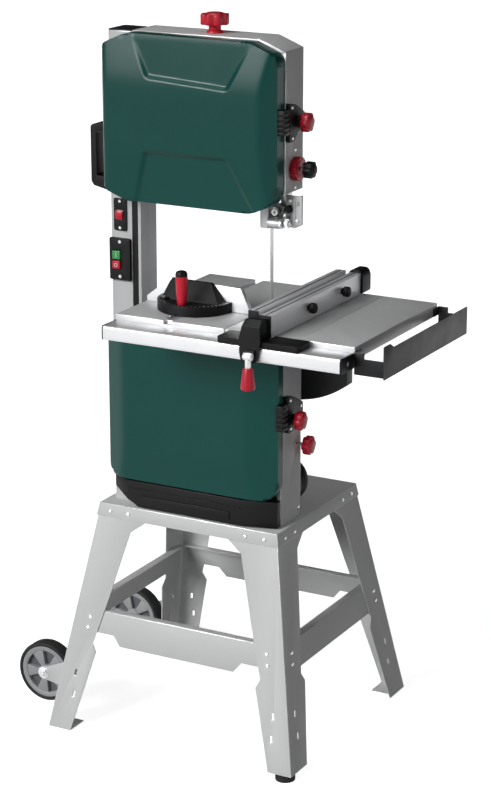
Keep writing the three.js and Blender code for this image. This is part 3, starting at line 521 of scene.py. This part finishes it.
tray_bolts = []
leg_bolts = []
for sx in HANDS.values():
    for sy in SIDES.values():
        out_x, out_y = (sx, 0, LEAN_X), (0, sy, LEAN_Y)
        x, y = stand_corner(sx, sy, TRAY_BOLT_Z)
        for along in (33, 78):
            tray_bolts.append(head(out_y, x - sx * along, y, TRAY_BOLT_Z, 4.2, 3.2))
            tray_bolts.append(head(out_x, x, y - sy * along, TRAY_BOLT_Z, 4.2, 3.2))
        for z in (262, 238):
            x, y = stand_corner(sx, sy, z, LEG_INSET)
            leg_bolts.append(head(out_y, x - sx * 41, y, z, 4.6, 3.4))
            leg_bolts.append(head(out_x, x, y - sy * 34, z, 4.6, 3.4))
joined("tray_bolts", "frame", ZINC, tray_bolts)
joined("leg_bolts", "frame", ZINC, leg_bolts)

column_cap = block(-378, -322.6, -18.3, 47.8, 1553.5, 1556.6)
joined("column_cap", "frame", BLACK, [column_cap], width=1.2)
guard_strip = block(-326.3, -312.6, -17.6, -13.2, 640.4, 1439.6)
joined("column_guard_strip", "frame", BLACK, [guard_strip], width=0.5)
HOUSING_RIGHT = 32
HOUSING_BACK = 76.3
side_screw_places = ((39.5, 1326.5), (40, 1248), (66, 900), (66, 540))
side_screws = [head("x", HOUSING_RIGHT, y, z, 4, 2.6) for y, z in side_screw_places]
joined("housing_screws", "frame", ZINC, side_screws)
seam = [head("y", x, HOUSING_BACK, z, 4, 2.6) for z in (1225, 1500) for x in (-280, -60)]
joined("housing_back_screws", "frame", ZINC, seam)

dress("base_skirt", 1.6, BLACK, segments=3)
skirt_ribs = [
    block(-322, -44, -59, -56.5, 560, 564),
    block(-290, -70, -59, -56.5, 532, 550)]
joined("base_skirt_ribs", "frame", BLACK, skirt_ribs, width=0.8)
dress("carry_handle", 3.0, BLACK, segments=3)
dress("dust_port", 0.8, BLACK)
PORT_X, PORT_Z = -22, 583
PORT_R = 50
screw_steps = (-43, 43)  # from the port's middle to the screws of its square flange
flange_screws = [
    nut("y", PORT_X + a, 80.6, PORT_Z + b, 3.6, 3) for a in screw_steps for b in screw_steps]
joined("dust_port_screws", "frame", ZINC, flange_screws)
bead = ring_points(1.3, 0, 360, 8, PORT_R)[:-1]
hoops = [hoop("y", bead, PORT_X, y, PORT_Z, 40) for y in (96, 104, 112)]
joined("dust_port_ribs", "frame", BLACK, hoops)

# The bright folded edge of the upper housing, beside its door.
FOLD_RIGHT = 37.9
FOLD_FRONT, FOLD_BACK = -14.5, -11.5
fold_corner = [
    (-26, 1555.6), (-26, 1558.4), (FOLD_RIGHT, 1533.4), (FOLD_RIGHT, 1531),
    (HOUSING_RIGHT, 1531), (HOUSING_RIGHT, 1533.2)]
folded_edge = [
    block(HOUSING_RIGHT, FOLD_RIGHT, FOLD_FRONT, FOLD_BACK, 1241, 1533),
    slab(fold_corner, "xz", FOLD_FRONT, FOLD_BACK)]
joined("upper_housing_folded_edge", "frame", GREY_EDGE, folded_edge, width=0.4)

dress("levelling_foot", 1.5, RUBBER)
FOOT_X, FOOT_Y = 111, -141
foot_nut = [turned("z", [(9.5, 8.9), (9.5, 11.6), (8, 11.9), (0, 11.9)], FOOT_X, FOOT_Y, 0, 6)]
joined("levelling_foot_nut", body_of["levelling_foot"], ZINC, foot_nut)

# ---------------------------------------------------------------- motor and drive
MOTOR_X, MOTOR_Z = -178, 592
MOTOR_FINS = 36
BOX_LID = MOTOR_Z + 87.8  # top of the terminal box


def ribbed_motor():
    """Flange, casing with its fan cowl, cooling fins, and the terminal box with its lid."""
    casing = [
        (0, 84), (50, 84), (61, 84), (61, 92), (58, 96), (58, 236), (61, 240), (66, 242),
        (66, 284), (62, 290), (44, 292), (0, 292)]
    flange = [(0, 76.6), (58, 76.6), (58, 85), (0, 85)]
    parts = [turned("y", profile, MOTOR_X, 0, MOTOR_Z, 48) for profile in (casing, flange)]
    for i in range(MOTOR_FINS):
        fin = block(56, 65.6, -1.1, 1.1, 98, 234)
        fin.transform(Matrix.Rotation(2 * math.pi * i / MOTOR_FINS, 4, "Z"))
        parts.append(aimed(fin, "y", MOTOR_X, 0, MOTOR_Z))
    parts.append(block(MOTOR_X - 40, MOTOR_X + 40, 144, 234, MOTOR_Z + 50, MOTOR_Z + 80))
    parts.append(block(MOTOR_X - 41, MOTOR_X + 41, 143, 235, MOTOR_Z + 80.2, BOX_LID))
    return parts


motor = joined("motor_casing", "frame", BLACK_PAINT, ribbed_motor(), width=0.7)
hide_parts("motor")
cowl = []
for r in (14, 24, 34):
    ring = [(r, 291), (r + 3, 291), (r + 3, 291.9), (r, 291.9)]
    cowl.append(hoop("y", ring, MOTOR_X, 0, MOTOR_Z))
joined("motor_cowl_grille", "frame", BLACK_EDGE, cowl)
lid_screws = [head("z", MOTOR_X + a, y, BOX_LID, 3, 0.6) for a in (-34, 34) for y in (151, 227)]
joined("terminal_box_screws", "frame", ZINC, lid_screws)
dress("drive_belt", 0.5, RUBBER)
dress("motor_pulley", 0.5, STEEL)
dress("wheel_carriage", 1.0, CAST)

# ---------------------------------------------------------------- band wheels and blade
WHEEL_R = 157.5
WHEEL_X = -158.65
UPPER_WHEEL_Z = 1376
LOWER_WHEEL_Z = 752
BAND_R = WHEEL_R + 1.15  # to the middle of the blade's thickness
for node, z in (("upper_band_wheel", UPPER_WHEEL_Z), ("lower_band_wheel", LOWER_WHEEL_Z)):
    dress(node, 1.0, CAST)
    tyre = [(157, -11.5), (158.05, -11), (158.05, 11), (157, 11.5)]
    joined(node + "_tyre", body_of[node], RUBBER, [hoop("y", tyre, WHEEL_X, 0, z, 96)])
    cap = [turned((0, -1, 0), [(15, 14.6), (15, 17), (13, 18.4), (0, 18.4)], WHEEL_X, 0, z, 24)]
    joined(node + "_axle_cap", body_of[node], ZINC, cap)


def toothed_band(radius, thick, back, tip, gullet, pitch):
    """The endless blade: teeth point down on the cutting run, so they lean along the path."""
    straight = UPPER_WHEEL_Z - LOWER_WHEEL_Z
    length = 2 * straight + 2 * math.pi * radius
    count = round(length / pitch)

    def at(s):
        """The point at a distance along the band, and the direction away from the wheels there."""
        s %= length
        if s < straight:
            return Vector((WHEEL_X + radius, 0, LOWER_WHEEL_Z + s)), Vector((1, 0, 0))
        s -= straight
        if s < math.pi * radius:
            t = s / radius
            out = Vector((math.cos(t), 0, math.sin(t)))
            return Vector((WHEEL_X, 0, UPPER_WHEEL_Z)) + out * radius, out
        s -= math.pi * radius
        if s < straight:
            return Vector((WHEEL_X - radius, 0, UPPER_WHEEL_Z - s)), Vector((-1, 0, 0))
        t = math.pi + (s - straight) / radius
        out = Vector((math.cos(t), 0, math.sin(t)))
        return Vector((WHEEL_X, 0, LOWER_WHEEL_Z)) + out * radius, out

    bm = bmesh.new()
    rings = []
    for i in range(count):
        for share, front in ((0.0, tip), (0.25, gullet), (0.55, gullet)):
            place, out = at((i + share) * length / count)
            ring = []
            for side, y in ((-1, front), (1, front), (1, back), (-1, back)):
                point = place + out * side * thick / 2
                ring.append(bm.verts.new((point.x, y, point.z)))
            rings.append(ring)
    for a, b in zip(rings, rings[1:] + rings[:1]):
        for k in range(4):
            j = (k + 1) % 4
            bm.faces.new((a[k], a[j], b[j], b[k]))
    return bm


blade_shape = toothed_band(BAND_R, thick=0.9, back=7.5, tip=-7.5, gullet=-5.3, pitch=6.35)
band = joined("toothed_blade", "frame", STEEL, [blade_shape])
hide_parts("band_blade")

# ---------------------------------------------------------------- transport wheels
TRANSPORT_X, TRANSPORT_Z = -541.5, 88
TRANSPORT_ARMS = 5
FIRST_ARM = 43  # degrees
AXLE_END = 4  # how far the axle's nut stands off the wheel


def spoked_wheel(side, y):
    """A moulded wheel with five deep pockets and a rubber tyre, its middle at y."""
    body = body_of[f"transport_wheel_{side}"]
    rim = [(50, -14), (60.5, -15.5), (61.5, -14), (61.5, 14), (60.5, 15.5), (50, 14)]
    parts = [hoop("y", rim, TRANSPORT_X, y, TRANSPORT_Z)]
    hub = [(7.4, -16), (15, -16), (17, -13), (17, 13), (15, 16), (7.4, 16)]
    parts.append(hoop("y", hub, TRANSPORT_X, y, TRANSPORT_Z, 32))
    for i in range(TRANSPORT_ARMS):
        middle = FIRST_ARM + 360 * i / TRANSPORT_ARMS
        wedge = ring_points(15.5, middle - 22, middle + 22, 4)
        wedge += ring_points(51, middle + 17, middle - 17, 6)
        arm = slab(wedge, "xz", -13, 13)
        arm.transform(Matrix.Translation((TRANSPORT_X, y, TRANSPORT_Z)))
        parts.append(arm)
    moulding = joined(f"transport_wheel_{side}_spokes", body, WHEEL_GREY, parts, width=0.8)
    # The web between the arms is the pockets' floor. It is the same moulding as the arms, in a darker
    # grey as painted shade.
    web = hoop("y", [(16.5, -4), (50.5, -4), (50.5, 4), (16.5, 4)], TRANSPORT_X, y, TRANSPORT_Z)
    joined(f"transport_wheel_{side}_web", body, POCKET_SHADE_GREY, [web])
    half = [(61.6, -15.5), (63.5, -17.3), (66.5, -17.3), (69, -15.5), (70, -12)]
    tread = half + [(r, -along) for r, along in reversed(half)]
    rubber = hoop("y", tread, TRANSPORT_X, y, TRANSPORT_Z, 72)
    tyre = joined(f"transport_wheel_{side}_tyre", body, RUBBER, [rubber])
    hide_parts(f"transport_wheel_{side}")
    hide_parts(f"transport_wheel_{side}")


for side, s in SIDES.items():
    low, high = limits(f"transport_wheel_{side}")
    spoked_wheel(side, (low.y + high.y) / 2)
    outer = low.y - AXLE_END if s < 0 else high.y + AXLE_END
    outwards = (0, s, 0)
    washer = [(13.5, -0.4), (13.5, 1.2), (0, 1.2)]
    parts = [nut(outwards, TRANSPORT_X, outer, TRANSPORT_Z, 11, 5)]
    parts.append(turned(outwards, washer, TRANSPORT_X, outer, TRANSPORT_Z, 28))
    joined(f"transport_axle_nut_{side}", "frame", ZINC, parts)

# ---------------------------------------------------------------- latches, knobs and switches
for node in ("upper_latch_bracket", "lower_latch_bracket"):
    dress(node, 1.6, BLACK, segments=3)
BRACKET_FACE = 47.3
screws = []
for middle in (1388, 768):
    for y, up in ((-3, 33), (-1, -30), (48, -7), (47, 9)):
        screws.append(head("x", BRACKET_FACE, y, middle + up, 3.6, 2))
joined("latch_bracket_screws", "frame", ZINC, screws)


LOBE_POINTS = 8  # outline points for each lobe
FLUTE_DEPTH = 3.4


def fluted_knob(node, look, place, start, end, radius, lobes, shaft, cap=None):
    """A moulded star knob facing right: lobed grip, domed face and collar on its shaft."""
    y, z = place
    body = body_of[node]
    outline = []
    points = lobes * LOBE_POINTS
    for i in range(points):
        t = 2 * math.pi * i / points
        r = radius - FLUTE_DEPTH * (0.5 - 0.5 * math.cos(lobes * t)) ** 2
        outline.append((y + r * math.cos(t), z + r * math.sin(t)))
    grip = slab(outline, "yz", start, end - 2)
    dome = [
        (radius * 0.8, end - 3), (radius * 0.72, end), (radius * 0.5, end + 1.5), (0, end + 2.2)]
    crown = turned("x", dome, 0, y, z, 36)
    neck = [(radius * 0.55, start - 3), (radius * 0.62, start + 1), (0, start + 1)]
    collar = turned("x", neck, 0, y, z, 28)
    knob = joined(node + "_grip", body, look, [grip, crown, collar], width=1.3, segments=3)
    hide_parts(node)
    rod = [(shaft, 33), (shaft, start + 2), (0, start + 2)]
    joined(node + "_shaft", body, ZINC, [turned("x", rod, 0, y, z, 20)])
    if cap:
        ring = [(cap, end + 0.6), (cap, end + 2.4), (cap - 1, end + 3), (0, end + 3)]
        joined(node + "_cap", body, BLACK, [turned("x", ring, 0, y, z, 28)])


UPPER_LATCH = (29, 1388)  # y and z of the knob's axis, as in the three below
LOWER_LATCH = (9, 756)
BELT_KNOB = (58, 687)
GUIDE_SHAFT = (35, 1289)
fluted_knob("upper_latch_knob", RED, UPPER_LATCH, 57, 75, radius=20.5, lobes=6, shaft=5.5)
fluted_knob("lower_latch_knob", RED, LOWER_LATCH, 57, 75, radius=20.5, lobes=6, shaft=5.5)
fluted_knob("belt_tension_knob", RED, BELT_KNOB, 52, 70, radius=21, lobes=6, shaft=4)
fluted_knob("guide_clamp_knob", BLACK, GUIDE_SHAFT, 60, 80, radius=18, lobes=6, shaft=3.8, cap=8)


def milled_rim(a, b, radius, teeth, depth):
    """An outline round a middle, with fine square teeth round its edge."""
    out = []
    floor_r = radius - depth
    for i in range(teeth):
        for share, r in ((0.05, radius), (0.45, radius), (0.55, floor_r), (0.95, floor_r)):
            t = 2 * math.pi * (i + share) / teeth
            out.append((a + r * math.cos(t), b + r * math.sin(t)))
    return out


wheel_hub = [(4.8, 28), (8, 28), (8, 35.5), (4.8, 35.5)]
wheel_lip = [(12, 48.5), (20, 48.5), (19, 50), (13, 50)]
wheel_parts = [
    slab(milled_rim(*GUIDE_SHAFT, 25, 24, 1.3), "yz", 35, 49),
    hoop("x", wheel_hub, 0, *GUIDE_SHAFT, 24),
    hoop("x", wheel_lip, 0, *GUIDE_SHAFT, 40)]
handwheel = joined("guide_handwheel_rim", body_of["guide_handwheel"], RED, wheel_parts, width=0.4)
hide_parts("guide_handwheel")

TENSION_X, TENSION_Y = -152, 33.6
STAR_R = 30.5
STAR_FLUTE = 4.5
STAR_LOBES = 8
STAR_POINTS = STAR_LOBES * LOBE_POINTS
knob_parts = []
for low, high, r0, r1 in ((1556.2, 1561, 18, 16), (1560.5, 1574.5, 13, 13), (1594, 1597.8, 21, 16)):
    step = [(0, low), (r0, low), (r1, high), (0, high)]
    knob_parts.append(turned("z", step, TENSION_X, TENSION_Y, 0, 32))
star = []
for i in range(STAR_POINTS):
    t = 2 * math.pi * i / STAR_POINTS
    r = STAR_R - STAR_FLUTE * (0.5 - 0.5 * math.cos(STAR_LOBES * t)) ** 1.5
    star.append((TENSION_X + r * math.cos(t), TENSION_Y + r * math.sin(t)))
knob_parts.append(slab(star, "xy", 1573, 1594.8))
tension = joined("tension_knob_star", body_of["tension_knob"], RED, knob_parts, width=1.6, segments=3)
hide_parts("tension_knob")
spindle_side = [(0, 1382), (5, 1382), (5, 1560), (0, 1560)]
spindle = turned("z", spindle_side, TENSION_X, TENSION_Y, 0, 20)
joined("tension_spindle", body_of["tension_knob"], ZINC, [spindle])

dress("light_switch_plate", 1.2, BLACK, segments=3)
dress("start_stop_plate", 1.4, BLACK, segments=3)
dress("light_rocker", 0.7, RED)
dress("start_button", 1.4, GREEN_BUTTON, segments=3)
dress("stop_button", 1.4, RED, segments=3)
FACING = (0, -1, 0)
plate_screws = [head(FACING, -354.2, -23, z, 3.4, 1.6) for z in (1134, 1192)]
plate_screws += [head(FACING, -354, -26, z, 3.8, 1.8) for z in (1028, 1104)]
joined("switch_plate_screws", "frame", ZINC, plate_screws)
line_mark = block(-362.1, -360.9, -30.25, -29.6, 1070.5, 1079.5)
joined("start_button_symbol", body_of["start_button"], WHITE_INK, [line_mark])
ring_side = [(3.2, -31.25), (4.3, -31.25), (4.3, -30.6), (3.2, -30.6)]
ring_mark = hoop("y", ring_side, -361.5, 0, 1053.5)
joined("stop_button_symbol", body_of["stop_button"], WHITE_INK, [ring_mark])

# ---------------------------------------------------------------- blade guides
dress("guide_post", 0.8, STEEL)
dress("upper_guide_block", 1.2, CAST, segments=3)
dress("lower_guide_block", 1.0, CAST)
GUIDE = body_of["upper_guide_block"]


def bearing(axis, x, y, z, radius, width):
    """A ball bearing: outer and inner ring with a shield set back between them."""
    half = width / 2
    rings = (
        (radius - 2.2, radius, half),
        (radius * 0.3, radius * 0.52, half),
        (radius * 0.5, radius - 2, half - 0.6))
    shapes = []
    for inner, rim_r, reach in rings:
        ring = [(inner, -reach), (rim_r, -reach), (rim_r, reach), (inner, reach)]
        shapes.append(hoop(axis, ring, x, y, z, 32))
    return shapes


thrust = bearing("y", 5, 4.0, 1202, 9.5, 5) + bearing("x", 34, -3, 1198, 8, 6)
joined("thrust_bearing", GUIDE, STEEL, thrust, width=0.3)
beside = bearing("x", 29.2, -14, 1181, 10.6, 6) + bearing("y", 14, -13, 1204, 7, 5)
joined("side_bearings", GUIDE, ZINC, beside, width=0.3)
KNURL = (-6, 1181)
knurls = [
    slab(milled_rim(*KNURL, 9.4, 20, 0.8), "yz", 33, 43),
    nut("x", 43, *KNURL, 5, 3),
    turned("x", [(3, 20), (3, 44), (0, 44)], 0, *KNURL, 16)]
knurls += [nut(FACING, x, 6, z, 4.2, 3) for x, z in ((56, 1186), (40, 1228), (36, 1186))]
joined("guide_fasteners", GUIDE, ZINC, knurls, width=0.25)
grips = [slab(milled_rim(38, 1210, 8.2, 14, 1), "xz", -6, 6)]
joined("guide_set_knob", GUIDE, BLACK, grips, width=0.4)
lower_hardware = [nut("x", 22, -3, 934, 4, 3), nut("x", 22, 12, 934, 4, 3)]
lower_hardware += [nut((-1, 0, 0), -24, -3, 934, 4, 3), nut(FACING, 12, -9, 934, 4, 3)]
joined("lower_guide_fasteners", "frame", ZINC, lower_hardware)

# ---------------------------------------------------------------- table and tilt
for node in ("trunnion_segment", "trunnion_base", "tilt_lock_lever"):
    dress(node, 1.2, BLACK_PAINT, BLACK_EDGE)
dress("main_table", 0.9, GROUND_TOP, ALUMINIUM_X, clamp=False)
dress("table_extension", 0.9, GROUND_TOP, ALUMINIUM_X, clamp=False)
dress("table_insert", 0.5, ALUMINIUM_Y)
screw_side = [(0.9, 998.15), (3.2, 998.15), (3.2, 998.35), (0.9, 998.35)]
insert_screws = []
for angle in (150, 270):
    x, y = ring_points(22, angle, angle, 1)[0]
    insert_screws.append(hoop("z", screw_side, x, y, 0, 20))
joined("table_insert_screws", "table", ZINC, insert_screws)
TABLE_BACK = limits("main_table")[1].y
joint_bolts = [nut("y", x, TABLE_BACK, 982, 5, 3.4) for x in (160, 178)]
joined("extension_joint_bolts", "table", ZINC, joint_bolts)
edge_plate = [block(153, 186, TABLE_BACK - 0.2, TABLE_BACK + 3, 974, 990)]
joined("extension_joint_plate", "table", GREY, edge_plate, width=0.6)

dress("front_rail", 2.0, ALUMINIUM_X, segments=4)
RAIL_LOW, RAIL_HIGH = limits("front_rail")
CAP_LIP = 0.3  # the end caps stand out this far round the rail
cap_outline = rounded([
    (RAIL_LOW.y - CAP_LIP, RAIL_LOW.z - CAP_LIP), (RAIL_HIGH.y, RAIL_LOW.z - CAP_LIP),
    (RAIL_HIGH.y, RAIL_HIGH.z + CAP_LIP), (RAIL_LOW.y - CAP_LIP, RAIL_HIGH.z + CAP_LIP)], 5)
cap_spans = ((RAIL_LOW.x - 2.5, RAIL_LOW.x + 0.2), (RAIL_HIGH.x - 4, RAIL_HIGH.x + 0.4))
caps = [slab(cap_outline, "yz", start, end) for start, end in cap_spans]
joined("rail_end_caps", "table", BLACK, caps, width=0.6)
joined("rail_end_screws", "table", ZINC, [head("x", RAIL_HIGH.x + 0.4, -234, 972, 5, 0.2)])
dress("fence_bracket", 0.6, BLACK_PAINT, BLACK_EDGE)
BRACKET_RIGHT = limits("fence_bracket")[1].x
rivets = [nut("x", BRACKET_RIGHT - 0.2, y, z, 4.4, 0.1) for y, z in ((152, 989), (-156, 991))]
joined("fence_bracket_rivets", "table", ZINC, rivets)
pins = [head("x", BRACKET_RIGHT - 3, y, z, 4.5, 3) for y, z in ((133, 948), (-123, 948))]
joined("fence_bracket_screws", "table", ZINC, pins)

# ---------------------------------------------------------------- rip fence
dress("fence_carrier", 1.6, BLACK, segments=3)
dress("fence_profile", 0.6, ALUMINIUM_Y)
FENCE = body_of["fence_profile"]
knob_side = [(0, 119.4), (7, 119.4), (7, 123), (11, 124), (11.4, 133), (9.5, 136), (0, 136.6)]
fence_knobs = [turned("x", knob_side, 0, y, 1026, 12) for y in (-64, 92)]
joined("fence_knobs", FENCE, BLACK, fence_knobs, width=0.8)
end_profile = rounded([(90, 1000), (124, 1000), (124, 1040), (117, 1051), (96, 1051), (90, 1044)], 6)
joined("fence_end_cap", FENCE, BLACK, [slab(end_profile, "xz", 180, 221.6)], width=1.6, segments=3)
front_cap = [
    block(68.6, 91.4, -230.9, -228, 1000.4, 1052.6),
    block(91, 119.4, -230.9, -228, 1000.4, 1045.6)]
joined("fence_front_plate", FENCE, BLACK, front_cap, width=0.5)
# Thin black strips flush with the profile's tops, with no groove cut: painted shade where the grooves
# would be.
groove_shade_strips = [
    block(80, 83, -226, 160, 1052.1, 1052.5),
    block(104, 107, -226, 178, 1045.1, 1045.5)]
joined("fence_groove_shade_strips", FENCE, BLACK, groove_shade_strips)
LEVER_X, LEVER_Y = 97, -284
LEVER_PIVOT_Z = 974
lever_side = [(0, 904), (9, 904), (14.5, 907), (15, 912), (10.5, 946), (9, 950), (0, 950)]
lever = turned("z", lever_side, LEVER_X, LEVER_Y, 0, 28)
lever_grip = joined("fence_lever_grip", body_of["fence_lever"], RED, [lever], width=0.8)
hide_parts("fence_lever")
pivot_side = [(0, 88), (8, 88), (8, 106), (0, 106)]
stem = [
    turned("z", [(0, 948), (6, 948), (6, 970), (0, 970)], LEVER_X, LEVER_Y, 0, 20),
    turned("x", pivot_side, 0, LEVER_Y, LEVER_PIVOT_Z, 28)]
joined("fence_lever_stem", body_of["fence_lever"], ZINC, stem, width=0.8)

# ---------------------------------------------------------------- mitre gauge
MITRE_X, MITRE_Y = -133, -81
dress("mitre_bar", 0.5, STEEL)
dress("mitre_head", 1.6, BLACK, segments=3)
dress("mitre_fence", 0.6, ALUMINIUM_X)
GRIP_Y = -145
HANDLE = body_of["mitre_handle"]
grip_side = [
    (0, 1020.4), (9, 1020.4), (9.6, 1023), (11.5, 1045), (12.8, 1076), (12.6, 1080), (0, 1080)]
grip = turned("z", grip_side, MITRE_X, GRIP_Y, 0, 32)
mitre_grip = joined("mitre_grip", HANDLE, RED, [grip])
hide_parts("mitre_handle")
cap_side = [(0, 1080.2), (12.6, 1080.2), (12.6, 1085), (10.5, 1089.5), (6, 1091.4), (0, 1091.8)]
joined("mitre_grip_cap", HANDLE, BLACK, [turned("z", cap_side, MITRE_X, GRIP_Y, 0, 32)])
stud = turned("z", [(0, 1003), (5, 1003), (5, 1021), (0, 1021)], MITRE_X, GRIP_Y, 0, 16)
joined("mitre_stud", HANDLE, ZINC, [stud])
TICKS = 24  # the scale's steps, over SCALE_TURN degrees
LONG_EVERY = 6  # every sixth mark is a long one
SCALE_START, SCALE_TURN = -170, 160
ticks = []
for i in range(TICKS + 1):
    inner = 75 if i % LONG_EVERY else 70
    mark = block(inner, 81, -0.3, 0.3, 1019.8, 1020.15)
    turn = Matrix.Rotation(math.radians(SCALE_START + SCALE_TURN * i / TICKS), 4, "Z")
    mark.transform(Matrix.Translation((MITRE_X, MITRE_Y, 0)) @ turn)
    ticks.append(mark)
joined("mitre_scale", "mitre_head", WHITE_INK, ticks)
joined("mitre_boss_screw", "mitre_head", BLACK_EDGE, [nut("z", -190, -118, 1022, 6.5, 3)])
arrow = [(-146, -165), (-140, -165), (-138, -180), (-143, -192), (-148, -180)]
pointer = [slab(arrow, "xy", 999, 1001), head("z", -143, -176, 1001, 3.4, 1.6)]
joined("mitre_pointer", "mitre_head", STEEL, pointer, width=0.2)

# ---------------------------------------------------------------- camera and light
camera_data = bpy.data.cameras.new("camera")
camera = bpy.data.objects.new("camera", camera_data)
bpy.context.scene.collection.objects.link(camera)
camera.location = spot(2159.85, -4107.48, 2201.11)
LOOK_DOWN = 16.86
LOOK_LEFT = 28.41
camera.rotation_euler = (math.radians(90 - LOOK_DOWN), 0, math.radians(LOOK_LEFT))
camera_data.lens = 103.1
bpy.context.scene.camera = camera

floor_mesh = bpy.data.meshes.new("floor")
bm = bmesh.new()
bmesh.ops.create_grid(bm, x_segments=8, y_segments=8, size=40)
bm.to_mesh(floor_mesh)
bm.free()
floor = bpy.data.objects.new("floor", floor_mesh)
bpy.context.scene.collection.objects.link(floor)
studio_floor = surface("studio_floor", "f2f2f2", 0.9, tint=0.005, grain=60, bump=0.01, shine=0.1)
floor_shader = studio_floor.node_tree.nodes["Principled BSDF"]
floor_shader.inputs["Emission Color"].default_value = (1, 1, 1, 1)
floor_shader.inputs["Emission Strength"].default_value = 0.85
floor.data.materials.append(studio_floor)
floor.visible_diffuse = False  # the pale floor doesn't fill in the shaded faces


def sun(name, towards, strength, spread, lights=True, shines=True):
    """A distant soft light from a direction, which lights faces, makes highlights, or both."""
    data = bpy.data.lights.new(name, "SUN")
    data.energy = strength
    data.angle = math.radians(spread)
    lamp = bpy.data.objects.new(name, data)
    bpy.context.scene.collection.objects.link(lamp)
    lamp.rotation_euler = Vector(towards).to_track_quat("Z", "Y").to_euler()
    lamp.visible_diffuse = lights
    lamp.visible_glossy = shines


sun("key", (-0.3, -0.8, 0.42), 2.3, 30)
sun("front_shine", (-0.45, -0.8, 0.4), 2.4, 20, lights=False)
sun("right", (0.95, -0.3, 0.1), 0.6, 50)
sun("back", (-0.3, 0.95, 0.06), 1.5, 45, shines=False)
sun("overhead_shine", (-0.2, -0.1, 0.9), 2.5, 50, lights=False)

# The surroundings are brighter on the side that the slope points to.
world = bpy.data.worlds.new("studio")
bpy.context.scene.world = world
world.use_nodes = True
sky_nodes, sky_links = world.node_tree.nodes, world.node_tree.links
direction = sky_nodes.new("ShaderNodeTexCoord").outputs["Generated"]
slope = sky_nodes.new("ShaderNodeVectorMath")
slope.operation = "DOT_PRODUCT"
slope.inputs[1].default_value = Vector((-0.6, -0.5, -0.25)).normalized()
sky_links.new(direction, slope.inputs[0])
shade = sky_nodes.new("ShaderNodeMapRange")
shade.inputs["From Min"].default_value = -1.0
shade.inputs["To Min"].default_value = 0.15
shade.inputs["To Max"].default_value = 0.9
sky_links.new(slope.outputs["Value"], shade.inputs["Value"])
sky_links.new(shade.outputs["Result"], sky_nodes["Background"].inputs["Strength"])
bpy.context.scene.view_settings.view_transform = "Standard"
